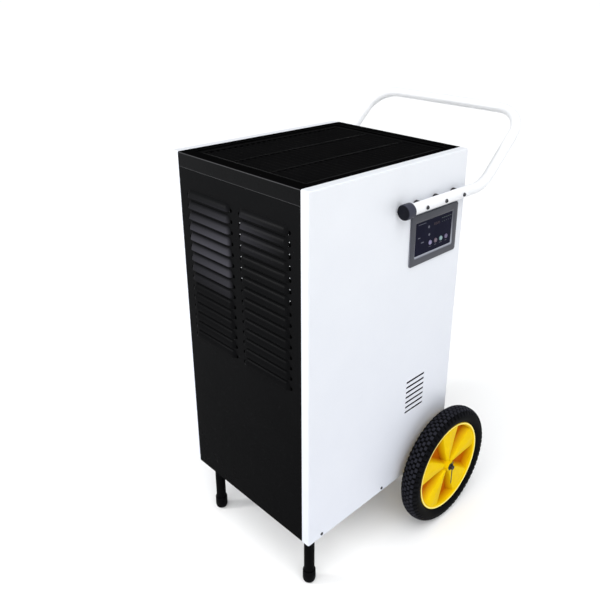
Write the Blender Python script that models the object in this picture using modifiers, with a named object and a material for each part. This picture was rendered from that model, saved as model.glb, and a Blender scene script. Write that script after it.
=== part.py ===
"""A portable commercial dehumidifier on two large wheels and two front legs.

Metres, +Z up. The louvred front faces -Y, and the control panel is on the +X side. The origin is on the
floor, under the middle of the whole object. Lengths along Y are given from the middle of the cabinet.
"""

import math

import bmesh
import bpy
from mathutils import Matrix, Vector

NAME = "dehumidifier"

# Gaps between pieces, and the sheet steel they are folded from.
GAP = 0.0004
SHEET = 0.0012
FOLD = 0.0024

# Cabinet.
BODY_WIDTH = 0.430
BODY_DEPTH = 0.500
BODY_BOTTOM = 0.165
BODY_TOP = 0.985
SIDE_FLANGE = 0.021
COVER_SKIRT = 0.033
PANEL_RETURN = 0.014

# Intake louvres: two columns of pressed scoops on the front.
LOUVRES = 15
LOUVRE_LENGTH = 0.146
LOUVRE_COLUMN_X = 0.0888
LOUVRE_TOP = 0.908
LOUVRE_PITCH = 0.0244
LOUVRE_RISE = 0.017
LOUVRE_BULGE = 0.007
LOUVRE_SLIT = 0.0015
LOUVRE_END = 0.009

# Compressor vents low on the right side.
VENT_SLOTS = 7
VENT_SLOT = (0.069, 0.0048)
VENT_TOP = 0.4405
VENT_PITCH = 0.0141
VENT_Y = 0.1085

# Air outlet in the top.
OUTLET = (0.352, 0.440)
GRILLE_SLOTS = 24
GRILLE_SLOT = 0.0085
GRILLE_PITCH = 0.0168
GRILLE_DROP = 0.003

# Base, legs and feet.
TRAY_TOP = 0.180
TRAY_WALL = 0.0136
LEG_RADIUS = 0.0125
LEG_WALL = 0.0015
LEG_X = 0.172
LEG_Y = -0.2066
FOOT_RADIUS = 0.0155
FOOT_HEIGHT = 0.034
FOOT_SOLE = 0.0095

# Wheels and axle.
TYRE_RADIUS = 0.1585
TYRE_WIDTH = 0.050
WHEEL_X = 0.258
WHEEL_Y = 0.200
RIM_RADIUS = 0.121
RIM_HALF_WIDTH = 0.0193
TYRE_SEAT = RIM_RADIUS - 0.0033
HUB_RADIUS = 0.0145
HUB_OUT = 0.022
SPOKES = 5
SPOKE_START = math.radians(19)
SPOKE_HALF_ANGLE = math.radians(22)
WEB = (-0.012, -0.006)
SPOKE_TOP = 0.0135
WHEEL_STEPS = 32
AXLE_RADIUS = 0.006
AXLE_HALF = 0.2895
BRACKET_X = 0.150
WASHER = (0.0095, 0.0024)
AXLE_BORE = 0.0042
PIN_RADIUS = 0.0016
PIN_X = WHEEL_X + HUB_OUT + 0.0062
PIN_LEG = 0.052

# Push handle.
HANDLE_RADIUS = 0.0125
HANDLE_WALL = 0.0018
HANDLE_X = 0.235
HANDLE_Z = 0.8935
HANDLE_START = 0.0005
HANDLE_KNEE = 0.2915
HANDLE_RISE = math.radians(42.5)
HANDLE_ARM = 0.2263
HANDLE_KNEE_BEND = 0.093
HANDLE_CORNER_BEND = 0.073
HANDLE_BOLTS = (0.063, 0.1305, 0.198)
HANDLE_CAP_RADIUS = 0.017
HANDLE_CAP_LENGTH = 0.0245
HANDLE_CAP_FRONT = -0.0035
BOLT_RADIUS = 0.003

# Control panel.
BEZEL = (0.1720, 0.119)
BEZEL_Y = 0.1363
BEZEL_Z = 0.8075
BEZEL_PROUD = 0.004
WINDOW = (0.1356, 0.0784)
WINDOW_Y = 0.1372
WINDOW_Z = 0.8074
WINDOW_FACE = 0.2164
WINDOW_THICK = 0.0025
BUTTON_RADIUS = 0.0055
BUTTON_Z = 0.7901
BUTTON_Y = 0.1551
BUTTON_PITCH = 0.0201
BUTTON_NAMES = ("button_power", "button_mode", "button_down", "button_up")

# Refrigeration and air path.
COIL_HALF_WIDTH = 0.165
COIL_DEPTH = 0.045
COIL_BOTTOM = 0.5025
COIL_TOP = 0.915
COIL_FINS = 18
EVAPORATOR_Y = -0.2055
CONDENSER_Y = -0.1475
DRIP_BOTTOM = 0.500
DRIP_WALL = 0.022
FAN_Y = 0.060
FAN_DECK_Z = 0.920
FAN_RING_RADIUS = 0.153
FAN_RADIUS = 0.142
FAN_BLADES = 6
MOTOR_RADIUS = 0.045
SHAFT_RADIUS = 0.005
COMPRESSOR = (-0.055, 0.085)
COMPRESSOR_RADIUS = 0.062
COMPRESSOR_TOP = 0.440
ACCUMULATOR_X = 0.037
PIPE_RADIUS = 0.005
DRAIN_X = 0.120
DRAIN_Z = 0.235

# Where the handle's crossbar is, and from it the cabinet's place along Y.
BAR_Y = HANDLE_KNEE + HANDLE_ARM * math.cos(HANDLE_RISE)
BAR_Z = HANDLE_Z + HANDLE_ARM * math.sin(HANDLE_RISE)
FRONT_REACH = BODY_DEPTH / 2 + LOUVRE_BULGE
REAR_REACH = BAR_Y + HANDLE_RADIUS
BODY_Y = (FRONT_REACH - REAR_REACH) / 2

HALF_WIDTH = BODY_WIDTH / 2
HALF_DEPTH = BODY_DEPTH / 2
INNER_HALF_WIDTH = HALF_WIDTH - SIDE_FLANGE - GAP
COVER_BOTTOM = BODY_TOP - COVER_SKIRT

# Which way a turned piece's own Z axis points.
ALONG_Z = (0, 0, 0)
ALONG_Y = (-math.pi / 2, 0, 0)
ALONG_X = (0, math.pi / 2, 0)
AGAINST_X = (0, -math.pi / 2, 0)

collections = {}
materials = {}


def start():
    """An empty scene with one collection for the object and one for its cutters."""
    for obj in list(bpy.data.objects):
        bpy.data.objects.remove(obj)
    for key in (NAME, "cutters"):
        collections[key] = bpy.data.collections.new(key)
        bpy.context.scene.collection.children.link(collections[key])


def material(key, color, roughness, metallic=0.0):
    made = bpy.data.materials.new(key)
    made.use_nodes = True
    shader = made.node_tree.nodes["Principled BSDF"]
    shader.inputs["Base Color"].default_value = (*color, 1.0)
    shader.inputs["Roughness"].default_value = roughness
    shader.inputs["Metallic"].default_value = metallic
    materials[key] = made


def make_materials():
    material("white_paint", (0.86, 0.87, 0.89), 0.35)
    material("black_paint", (0.012, 0.012, 0.014), 0.28)
    material("zinc_steel", (0.55, 0.56, 0.57), 0.35, 1.0)
    material("dark_steel", (0.10, 0.10, 0.105), 0.42, 1.0)
    material("yellow_plastic", (0.92, 0.62, 0.01), 0.35)
    material("tyre_rubber", (0.015, 0.015, 0.016), 0.75)
    material("black_rubber", (0.012, 0.012, 0.014), 0.65)
    material("black_plastic", (0.014, 0.014, 0.016), 0.45)
    material("grey_plastic", (0.07, 0.07, 0.075), 0.45)
    material("dark_window", (0.006, 0.007, 0.012), 0.08)
    material("button_plastic", (0.36, 0.34, 0.48), 0.30)
    material("circuit_board", (0.02, 0.16, 0.07), 0.50)
    material("aluminium", (0.72, 0.73, 0.74), 0.40, 1.0)
    material("copper", (0.72, 0.36, 0.20), 0.30, 1.0)
    material("filter_mesh", (0.08, 0.08, 0.085), 0.80)
    material("clear_hose", (0.55, 0.57, 0.58), 0.35)


def place(x, y, z):
    """A point given along Y from the middle of the cabinet."""
    return Vector((x, BODY_Y + y, z))


def new_object(name, mesh, finish, location=(0, 0, 0), rotation=ALONG_Z):
    """A named object, or a cutter that isn't part of the object if it has no finish."""
    obj = bpy.data.objects.new(name, mesh)
    obj.location = location
    obj.rotation_euler = rotation
    if finish is None:
        obj.hide_render = True
        obj.display_type = "WIRE"
        collections["cutters"].objects.link(obj)
    else:
        mesh.materials.append(materials[finish])
        collections[NAME].objects.link(obj)
    return obj


def mesh_object(name, bm, finish, location=(0, 0, 0), rotation=ALONG_Z):
    mesh = bpy.data.meshes.new(name)
    bm.to_mesh(mesh)
    bm.free()
    return new_object(name, mesh, finish, location, rotation)


def cube(size):
    bm = bmesh.new()
    bmesh.ops.create_cube(bm, size=1.0)
    bmesh.ops.scale(bm, vec=size, verts=bm.verts)
    return bm


def box(name, finish, size, centre, rotation=ALONG_Z, rounding=0.0, round_axis=0):
    """A box. Its edges along round_axis can be rounded."""
    bm = cube(size)
    if rounding:
        along = [e for e in bm.edges if abs((e.verts[0].co - e.verts[1].co)[round_axis]) > 1e-6]
        bmesh.ops.bevel(bm, geom=along, offset=rounding, segments=3, profile=0.5, affect="EDGES")
    return mesh_object(name, bm, finish, centre, rotation)


def span(name, finish, low, high, **options):
    """A box between two corners."""
    low, high = Vector(low), Vector(high)
    return box(name, finish, high - low, (low + high) / 2, **options)


def turned(name, finish, profile, location, axis=ALONG_Z, steps=24):
    """A turned shape. The profile is (radius, height) points, down the outer side from the top.
    It starts and ends on the axis, or else it closes on itself round a bore."""
    mesh = bpy.data.meshes.new(name)
    points = [(r, 0, h) for r, h in profile]
    edges = [(i, i + 1) for i in range(len(points) - 1)]
    if profile[0][0] > 0:
        edges.append((len(points) - 1, 0))
    mesh.from_pydata(points, edges, [])
    obj = new_object(name, mesh, finish, location, axis)
    screw = obj.modifiers.new("turn", "SCREW")
    screw.steps = steps
    screw.render_steps = steps
    screw.use_merge_vertices = True
    screw.merge_threshold = 1e-5
    screw.use_smooth_shade = True
    return obj


def cylinder(name, finish, radius, low, high, location, axis=ALONG_Z, steps=24):
    """A plain cylinder from low to high along its own axis."""
    profile = [(0, high), (radius, high), (radius, low), (0, low)]
    return turned(name, finish, profile, location, axis, steps)


def boolean(obj, other, operation):
    modifier = obj.modifiers.new(f"{operation.lower()} {other.name}", "BOOLEAN")
    modifier.operation = operation
    modifier.solver = "EXACT"
    modifier.object = other
    return obj


def cut(obj, *others):
    for other in others:
        boolean(obj, other, "DIFFERENCE")
    return obj


def join(obj, *others):
    for other in others:
        boolean(obj, other, "UNION")
    return obj


def folded_pan(name, finish, low, high, open_sides):
    """Sheet steel folded into a pan: a box's sides without the open ones, such as "-Z"."""
    low, high = Vector(low), Vector(high)
    bm = cube(high - low)
    bm.normal_update()
    for side in open_sides:
        toward = Vector([float(a == side[1]) for a in "XYZ"]) * (-1 if side[0] == "-" else 1)
        bmesh.ops.delete(bm, geom=[f for f in bm.faces if f.normal.dot(toward) > 0.9], context="FACES")
    obj = mesh_object(name, bm, finish, (low + high) / 2)
    fold = obj.modifiers.new("folds", "BEVEL")
    fold.width = FOLD
    fold.segments = 2
    fold.limit_method = "ANGLE"
    sheet = obj.modifiers.new("sheet", "SOLIDIFY")
    sheet.thickness = SHEET
    sheet.offset = -1
    return obj


def filleted(corners, radii, step=math.radians(12)):
    """A path through corners, with an arc of the given radius at each one between the ends."""
    corners = [Vector(c) for c in corners]
    path = [corners[0]]
    for before, corner, after, radius in zip(corners, corners[1:], corners[2:], radii):
        back = (before - corner).normalized()
        ahead = (after - corner).normalized()
        turn = math.pi - back.angle(ahead)
        inset = radius * math.tan(turn / 2)
        centre = corner + (back + ahead).normalized() * (radius / math.cos(turn / 2))
        spoke = corner + back * inset - centre
        around = back.cross(ahead).normalized()
        count = max(2, round(turn / step))
        for i in range(count + 1):
            path.append(centre + Matrix.Rotation(-turn * i / count, 3, around) @ spoke)
    path.append(corners[-1])
    return path


def tube(name, finish, path, radius, wall=None, sides=2):
    """A round rod along a path, or a hollow tube where it has a wall."""
    curve = bpy.data.curves.new(name, "CURVE")
    curve.dimensions = "3D"
    curve.bevel_depth = radius
    curve.bevel_resolution = sides
    curve.use_fill_caps = wall is None
    spline = curve.splines.new("POLY")
    spline.points.add(len(path) - 1)
    for point, at in zip(spline.points, path):
        point.co = (*at, 1.0)
    obj = new_object(name, curve, finish)
    if wall is None:
        return obj
    graph = bpy.context.evaluated_depsgraph_get()
    mesh = bpy.data.meshes.new_from_object(obj.evaluated_get(graph))
    bpy.data.objects.remove(obj)
    hollow = bpy.data.objects.new(name, mesh)
    collections[NAME].objects.link(hollow)
    thick = hollow.modifiers.new("wall", "SOLIDIFY")
    thick.thickness = wall
    thick.offset = -1
    return hollow


# ---------------------------------------------------------------- cabinet


def make_side_panels():
    for side, word in ((1, "right"), (-1, "left")):
        inner = side * (HALF_WIDTH - SIDE_FLANGE)
        outer = side * HALF_WIDTH
        low = place(min(inner, outer), -HALF_DEPTH, BODY_BOTTOM)
        high = place(max(inner, outer), HALF_DEPTH, BODY_TOP)
        opening = "-X" if side > 0 else "+X"
        panel = folded_pan(f"side_panel_{word}", "white_paint", low, high, (opening, "-Z"))
        for i, y in enumerate(HANDLE_BOLTS):
            at = place(outer, y, HANDLE_Z)
            hole = cylinder(f"bolt_hole_{word}_{i}", None, BOLT_RADIUS + GAP, -0.01, 0.01, at, ALONG_X, 12)
            cut(panel, hole)
        if side > 0:
            cut_control_opening(panel)
            cut_vent_slots(panel)


def cut_control_opening(panel):
    size = (0.03, WINDOW[0] + 2 * 0.002 + 2 * GAP, WINDOW[1] + 2 * 0.002 + 2 * GAP)
    cut(panel, box("control_opening", None, size, place(HALF_WIDTH, WINDOW_Y, WINDOW_Z)))


def cut_vent_slots(panel):
    for i in range(VENT_SLOTS):
        at = place(HALF_WIDTH, VENT_Y, VENT_TOP - i * VENT_PITCH)
        slot = box(f"vent_{i}", None, (0.01, *VENT_SLOT), at)
        cut(panel, slot)


def louvre_columns():
    """The front panel's lines along X, with how far a scoop stands out and how far back each line lies."""
    lines = [(-INNER_HALF_WIDTH, 0.0, PANEL_RETURN), (-INNER_HALF_WIDTH, 0.0, 0.0)]
    for middle in (-LOUVRE_COLUMN_X, LOUVRE_COLUMN_X):
        left = middle - LOUVRE_LENGTH / 2
        right = middle + LOUVRE_LENGTH / 2
        for x, rise in ((left, 0.0), (left + 0.3 * LOUVRE_END, 0.714), (left + LOUVRE_END, 1.0)):
            lines.append((x, rise, 0.0))
        for x, rise in ((right - LOUVRE_END, 1.0), (right - 0.3 * LOUVRE_END, 0.714), (right, 0.0)):
            lines.append((x, rise, 0.0))
    lines += [(INNER_HALF_WIDTH, 0.0, 0.0), (INNER_HALF_WIDTH, 0.0, PANEL_RETURN)]
    return lines


def louvre_row(bm, columns, z, out, slit_z, shared=None):
    """One row of the front panel's points. A row at a slit shares the points beyond its ends."""
    row = []
    for i, (x, rise, back) in enumerate(columns):
        if shared is not None and not rise:
            row.append(shared[i])
            continue
        height = z if rise else slit_z
        row.append(bm.verts.new(place(x, back - HALF_DEPTH - LOUVRE_BULGE * out * rise, height)))
    return row


def bridge(bm, upper, lower):
    for i in range(len(upper) - 1):
        bm.faces.new((upper[i], lower[i], lower[i + 1], upper[i + 1]))


def make_front_panel():
    """Folded sheet with two columns of louvres. Each louvre is a scoop that opens downwards at a slit."""
    bm = bmesh.new()
    columns = louvre_columns()
    top = COVER_BOTTOM - GAP
    above = louvre_row(bm, columns, top, 0.0, top)
    for i in range(LOUVRES):
        crown = LOUVRE_TOP - i * LOUVRE_PITCH
        middle = crown - 0.45 * LOUVRE_RISE
        lip = crown - LOUVRE_RISE
        edge = lip - LOUVRE_SLIT
        between = (lip + edge) / 2
        rows = [above, louvre_row(bm, columns, crown, 0.0, crown)]
        rows.append(louvre_row(bm, columns, middle, 0.72, middle))
        rows.append(louvre_row(bm, columns, lip, 1.0, between))
        for upper, lower in zip(rows, rows[1:]):
            bridge(bm, upper, lower)
        above = louvre_row(bm, columns, edge, 0.0, between, shared=rows[-1])
    low = BODY_BOTTOM + GAP
    bridge(bm, above, louvre_row(bm, columns, low, 0.0, low))
    bmesh.ops.dissolve_limit(bm, angle_limit=math.radians(1), verts=bm.verts, edges=bm.edges)
    panel = mesh_object("front_panel", bm, "black_paint")
    sheet = panel.modifiers.new("sheet", "SOLIDIFY")
    sheet.thickness = SHEET
    sheet.offset = -1


def make_back_panel():
    low = place(-INNER_HALF_WIDTH, HALF_DEPTH - PANEL_RETURN, BODY_BOTTOM + GAP)
    high = place(INNER_HALF_WIDTH, HALF_DEPTH, COVER_BOTTOM - GAP)
    panel = folded_pan("back_panel", "black_paint", low, high, ("-Y", "-Z"))
    for name, x, radius in (("drain_hole", DRAIN_X, 0.0085), ("cable_hole", -DRAIN_X, 0.0085)):
        at = place(x, HALF_DEPTH, DRAIN_Z)
        cut(panel, cylinder(name, None, radius + GAP, -0.01, 0.01, at, ALONG_Y, 12))


def make_top_cover():
    low = place(-INNER_HALF_WIDTH, -HALF_DEPTH, COVER_BOTTOM)
    high = place(INNER_HALF_WIDTH, HALF_DEPTH, BODY_TOP)
    cover = folded_pan("top_cover", "black_paint", low, high, ("-Z",))
    cut(cover, box("outlet_opening", None, (*OUTLET, 0.02), place(0, 0, BODY_TOP)))


def make_outlet_grille():
    """A dark slotted grille, hung just under the cover's opening."""
    top = BODY_TOP - SHEET - GRILLE_DROP
    size = (OUTLET[0] + 0.024, OUTLET[1] + 0.024, 0.002)
    grille = box("outlet_grille", "black_paint", size, place(0, 0, top - size[2] / 2))
    for i in range(GRILLE_SLOTS):
        y = (i - (GRILLE_SLOTS - 1) / 2) * GRILLE_PITCH
        cut(grille, box(f"grille_slot_{i}", None, (OUTLET[0] - 0.03, GRILLE_SLOT, 0.01), place(0, y, top)))


def make_base_tray():
    """The floor of the cabinet: a folded tray, open side down, that everything below is fixed to."""
    half_width = HALF_WIDTH - SHEET - GAP
    half_depth = HALF_DEPTH - PANEL_RETURN - 2 * GAP
    low = place(-half_width, -half_depth, TRAY_TOP - TRAY_WALL)
    high = place(half_width, half_depth, TRAY_TOP)
    folded_pan("base_tray", "zinc_steel", low, high, ("-Z",))


# ---------------------------------------------------------------- legs, axle and wheels


def make_front_legs():
    under_tray = TRAY_TOP - SHEET - GAP
    plate = 0.003
    for side, word in ((1, "right"), (-1, "left")):
        at = place(side * LEG_X, LEG_Y, 0)
        bottom = 0.0064
        top = under_tray - plate / 2
        bore = LEG_RADIUS - LEG_WALL
        profile = [(LEG_RADIUS, top), (LEG_RADIUS, bottom), (bore, bottom), (bore, top)]
        leg = turned(f"front_leg_{word}", "black_paint", profile, at, steps=16)
        size = (0.044, 0.044, plate)
        join(leg, box(f"leg_plate_{word}", None, size, at + Vector((0, 0, under_tray - plate / 2))))
        make_foot(f"foot_cap_{word}", at)


def make_foot(name, at):
    """A rubber cup on the end of a leg, rounded down to a flat sole."""
    socket = LEG_RADIUS + GAP
    floor = 0.006
    profile = [(0, floor), (socket, floor), (socket, FOOT_HEIGHT), (FOOT_RADIUS, FOOT_HEIGHT)]
    profile += [(FOOT_RADIUS, 0.010), (FOOT_RADIUS - 0.0012, 0.0045)]
    profile += [(FOOT_RADIUS - 0.0037, 0.0012), (FOOT_SOLE, 0.0), (0, 0.0)]
    turned(name, "black_rubber", profile, at, steps=16)


def make_axle():
    at = place(0, WHEEL_Y, TYRE_RADIUS)
    profile = [(AXLE_RADIUS, AXLE_HALF), (AXLE_RADIUS, -AXLE_HALF)]
    profile += [(AXLE_BORE, -AXLE_HALF), (AXLE_BORE, AXLE_HALF)]
    axle = turned("axle", "dark_steel", profile, at, ALONG_X, 18)
    for side, word in ((1, "right"), (-1, "left")):
        pin = place(side * PIN_X, WHEEL_Y, TYRE_RADIUS)
        cut(axle, cylinder(f"pin_hole_{word}", None, PIN_RADIUS + GAP, -0.02, 0.02, pin, steps=12))
        make_axle_bracket(side, word)
        make_wheel_retainer(side, word, pin)


def make_axle_bracket(side, word):
    """A hanger under the tray that holds the axle."""
    top = TRAY_TOP - SHEET - GAP
    bottom = TYRE_RADIUS - 0.014
    plate = 0.004
    middle = place(side * BRACKET_X, WHEEL_Y, 0)
    half = Vector((plate / 2, 0.018, 0))
    low = middle - half + Vector((0, 0, bottom))
    high = middle + half + Vector((0, 0, top - plate / 2))
    hanger = span(f"axle_bracket_{word}", "black_paint", low, high)
    foot = (0.040, 0.036, plate)
    join(hanger, box(f"bracket_foot_{word}", None, foot, middle + Vector((0, 0, top - plate / 2))))
    bore = place(side * BRACKET_X, WHEEL_Y, TYRE_RADIUS)
    cut(hanger, cylinder(f"axle_bore_{word}", None, AXLE_RADIUS + GAP, -0.01, 0.01, bore, ALONG_X, 18))


def make_wheel_retainer(side, word, pin):
    """The washer and the split pin that keep a wheel on the axle."""
    axis = ALONG_X if side > 0 else AGAINST_X
    bore = AXLE_RADIUS + GAP
    low = WHEEL_X + HUB_OUT + GAP
    high = low + WASHER[1]
    profile = [(WASHER[0], high), (WASHER[0], low), (bore, low), (bore, high)]
    turned(f"wheel_washer_{word}", "dark_steel", profile, place(0, WHEEL_Y, TYRE_RADIUS), axis, 18)
    head = 0.0115
    rod = cylinder(f"split_pin_{word}", "dark_steel", PIN_RADIUS, -PIN_LEG, head, pin, steps=10)
    eye = [(0.0042, 0.0013), (0.0042, -0.0013), (0.0018, -0.0013), (0.0018, 0.0013)]
    join(rod, turned(f"pin_eye_{word}", None, eye, pin + Vector((0, 0, head + 0.003)), ALONG_X, 10))


def rim_profile():
    """The wheel's section: lips and seat outside, then the hub and its bore, with a web between."""
    lip = RIM_HALF_WIDTH
    seat = lip - 0.0025
    inside = RIM_RADIUS - 0.0105
    bore = AXLE_RADIUS + 0.0003
    outer = [(RIM_RADIUS, lip), (RIM_RADIUS, seat), (TYRE_SEAT, seat)]
    outer += [(r, -h) for r, h in reversed(outer)]
    back = [(inside, -lip), (inside, WEB[0]), (HUB_RADIUS, WEB[0]), (HUB_RADIUS, -HUB_OUT), (bore, -HUB_OUT)]
    face = [(bore, HUB_OUT), (HUB_RADIUS - 0.002, HUB_OUT), (HUB_RADIUS + 0.003, WEB[1])]
    face += [(inside, WEB[1]), (inside, lip)]
    return outer + back + face


def spoke(name, angle, at):
    """A raised wedge on the wheel's face, narrow at the hub and wide at the rim, with sloping sides."""
    inner, outer = HUB_RADIUS - 0.003, RIM_RADIUS - 0.007
    bm = bmesh.new()
    rings = []
    for height, spread in ((WEB[1] - 0.001, 1.0), (SPOKE_TOP, 0.74)):
        half, narrow = SPOKE_HALF_ANGLE * spread, 0.0075 * spread
        x, y = outer * math.cos(half), outer * math.sin(half)
        outline = ((inner, -narrow), (x, -y), (outer, 0), (x, y), (inner, narrow))
        rings.append([bm.verts.new((*point, height)) for point in outline])
    bm.faces.new(rings[0][::-1])
    bm.faces.new(rings[1])
    for i in range(len(rings[0])):
        bm.faces.new((rings[0][i - 1], rings[0][i], rings[1][i], rings[1][i - 1]))
    bmesh.ops.recalc_face_normals(bm, faces=bm.faces)
    bmesh.ops.rotate(bm, verts=bm.verts, cent=(0, 0, 0), matrix=Matrix.Rotation(angle, 3, "Z"))
    return mesh_object(name, bm, None, at, ALONG_X)


def make_wheels():
    for side, word in ((1, "right"), (-1, "left")):
        at = place(side * WHEEL_X, WHEEL_Y, TYRE_RADIUS)
        axis = ALONG_X if side > 0 else AGAINST_X
        rim = turned(f"wheel_rim_{word}", "yellow_plastic", rim_profile(), at, axis, WHEEL_STEPS)
        for i in range(SPOKES):
            wedge = spoke(f"spoke_{word}_{i}", SPOKE_START + i * math.tau / SPOKES, at)
            wedge.rotation_euler = axis
            join(rim, wedge)
        make_tyre(f"tyre_{word}", at, axis)


def make_tyre(name, at, axis):
    half = TYRE_WIDTH / 2
    bead = TYRE_SEAT + GAP
    lip = RIM_HALF_WIDTH - 0.0025 - GAP
    crown = [(TYRE_RADIUS - 0.018, half), (TYRE_RADIUS - 0.005, half - 0.008), (TYRE_RADIUS, half - 0.017)]
    crown += [(r, -h) for r, h in reversed(crown)]
    shoulder = RIM_RADIUS + 0.002
    profile = [(bead, lip), (RIM_RADIUS + GAP, lip), (shoulder, half - 0.004), *crown]
    profile += [(shoulder, 0.004 - half), (RIM_RADIUS + GAP, -lip), (bead, -lip)]
    turned(name, "tyre_rubber", profile, at, axis, WHEEL_STEPS)


# ---------------------------------------------------------------- handle


def make_handle():
    knee = place(HANDLE_X, HANDLE_KNEE, HANDLE_Z)
    corner = place(HANDLE_X, BAR_Y, BAR_Z)
    end = place(HANDLE_X, HANDLE_START, HANDLE_Z)
    mirror = Matrix.Diagonal((-1, 1, 1))
    corners = [end, knee, corner, mirror @ corner, mirror @ knee, mirror @ end]
    bends = [HANDLE_KNEE_BEND, HANDLE_CORNER_BEND, HANDLE_CORNER_BEND, HANDLE_KNEE_BEND]
    path = filleted(corners, bends, math.radians(15))
    handle = tube("handle_tube", "white_paint", path, HANDLE_RADIUS, HANDLE_WALL, 4)
    for side, word in ((1, "right"), (-1, "left")):
        make_handle_cap(side, word)
        for i, y in enumerate(HANDLE_BOLTS):
            at = place(side * HANDLE_X, y, HANDLE_Z)
            hole = cylinder(f"tube_hole_{word}_{i}", None, BOLT_RADIUS + GAP, -0.03, 0.03, at, ALONG_X, 12)
            cut(handle, hole)
            make_handle_fixing(side, f"{word}_{i + 1}", y)


def make_handle_cap(side, word):
    """A moulded end on the front of each arm."""
    socket = HANDLE_RADIUS + GAP
    radius = HANDLE_CAP_RADIUS
    floor = HANDLE_START - HANDLE_CAP_FRONT - GAP
    profile = [(socket, HANDLE_CAP_LENGTH), (radius - 0.001, HANDLE_CAP_LENGTH)]
    profile += [(radius, HANDLE_CAP_LENGTH - 0.001), (radius, 0.0025), (radius - 0.0025, 0.0), (0, 0.0)]
    profile = [(0, floor), (socket, floor)] + profile
    front = place(side * HANDLE_X, HANDLE_CAP_FRONT, HANDLE_Z)
    turned(f"handle_cap_{word}", "grey_plastic", profile, front, ALONG_Y, 20)


def make_handle_fixing(side, word, y):
    """The saddle that stands the tube off the side panel, and the bolt through both."""
    axis = ALONG_X if side > 0 else AGAINST_X
    at = place(0, y, HANDLE_Z)
    bore = BOLT_RADIUS + GAP
    low = HALF_WIDTH + GAP
    high = HANDLE_X - 0.006
    profile = [(0.0095, high), (0.0095, low), (bore, low), (bore, high)]
    saddle = turned(f"handle_spacer_{word}", "black_rubber", profile, at, axis, 12)
    seat = place(side * HANDLE_X, y, HANDLE_Z)
    cut(saddle, cylinder(f"saddle_{word}", None, HANDLE_RADIUS + GAP, -0.02, 0.02, seat, ALONG_Y, 12))
    face = HANDLE_X + HANDLE_RADIUS + GAP
    head = [(0, face + 0.0035), (0.0035, face + 0.003), (0.0058, face), (BOLT_RADIUS, face)]
    shank = [(BOLT_RADIUS, HALF_WIDTH - 0.010), (0, HALF_WIDTH - 0.010)]
    turned(f"handle_bolt_{word}", "dark_steel", head + shank, at, axis, 8)


# ---------------------------------------------------------------- control panel


def make_control_bezel():
    """A moulded frame on the side panel, whose sleeve passes through the panel and holds the window."""
    face = HALF_WIDTH + GAP + BEZEL_PROUD
    back = WINDOW_FACE - WINDOW_THICK - 0.0015
    low = place(HALF_WIDTH + GAP, BEZEL_Y - BEZEL[0] / 2, BEZEL_Z - BEZEL[1] / 2)
    high = place(face, BEZEL_Y + BEZEL[0] / 2, BEZEL_Z + BEZEL[1] / 2)
    bezel = span("control_bezel", "grey_plastic", low, high, rounding=0.004)
    sleeve = (face - 0.001 - back, WINDOW[0] + 0.004, WINDOW[1] + 0.004)
    middle = place((face - 0.001 + back) / 2, WINDOW_Y, WINDOW_Z)
    join(bezel, box("bezel_sleeve", None, sleeve, middle))
    floor = WINDOW_FACE - WINDOW_THICK - GAP
    recess = (0.03, *WINDOW)
    cut(bezel, box("bezel_recess", None, recess, place(floor + 0.015, WINDOW_Y, WINDOW_Z)))
    through = (0.06, WINDOW[0] - 0.008, WINDOW[1] - 0.008)
    cut(bezel, box("bezel_through", None, through, place(HALF_WIDTH, WINDOW_Y, WINDOW_Z)))


def make_display_window():
    size = (WINDOW_THICK, WINDOW[0] - 2 * GAP, WINDOW[1] - 2 * GAP)
    middle = place(WINDOW_FACE - WINDOW_THICK / 2, WINDOW_Y, WINDOW_Z)
    window = box("display_window", "dark_window", size, middle)
    for i, y in enumerate(button_places()):
        at = place(WINDOW_FACE, y, BUTTON_Z)
        hole = cylinder(f"button_hole_{i}", None, BUTTON_RADIUS + GAP, -0.01, 0.01, at, ALONG_X, 14)
        cut(window, hole)


def button_places():
    middle = (len(BUTTON_NAMES) - 1) / 2
    return [BUTTON_Y + (i - middle) * BUTTON_PITCH for i in range(len(BUTTON_NAMES))]


def make_buttons():
    """Round keys that press straight in. A collar behind the window keeps each one in."""
    r = BUTTON_RADIUS
    behind = -WINDOW_THICK - GAP
    profile = [(0, 0.0020), (r - 0.0015, 0.0017), (r, 0.0007), (r, behind), (r + 0.0013, behind)]
    profile += [(r + 0.0013, behind - 0.0008), (0.002, behind - 0.0008), (0.002, -0.0080), (0, -0.0080)]
    for name, y in zip(BUTTON_NAMES, button_places()):
        turned(name, "button_plastic", profile, place(WINDOW_FACE, y, BUTTON_Z), ALONG_X, 14)


def make_control_board():
    """The circuit board behind the window, with its four key switches and its posts."""
    board_face = WINDOW_FACE - 0.0109
    board_back = board_face - 0.0016
    low = place(board_back, WINDOW_Y - 0.064, WINDOW_Z - 0.037)
    high = place(board_face, WINDOW_Y + 0.064, WINDOW_Z + 0.037)
    board = span("control_board", "circuit_board", low, high)
    for i, y in enumerate(button_places()):
        at = place(board_face + 0.0004, y, BUTTON_Z)
        join(board, box(f"key_switch_{i}", None, (0.0016, 0.006, 0.006), at))
    reach = WINDOW_FACE - WINDOW_THICK - 0.0015 - GAP - board_face
    for i, (a, b) in enumerate(((-1, -1), (-1, 1), (1, -1), (1, 1))):
        at = place(board_face + reach / 2 - 0.0005, WINDOW_Y + a * 0.0605, WINDOW_Z + b * 0.0335)
        join(board, box(f"board_post_{i}", None, (reach + 0.001, 0.005, 0.005), at))


def make_electrical_box():
    """The closed box of relays and the run capacitor, low behind the control board."""
    low = place(0.150, 0.105, 0.620)
    high = place(HALF_WIDTH - SHEET - GAP, 0.225, 0.735)
    span("electrical_box", "grey_plastic", low, high, rounding=0.004)


# ---------------------------------------------------------------- air path


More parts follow.
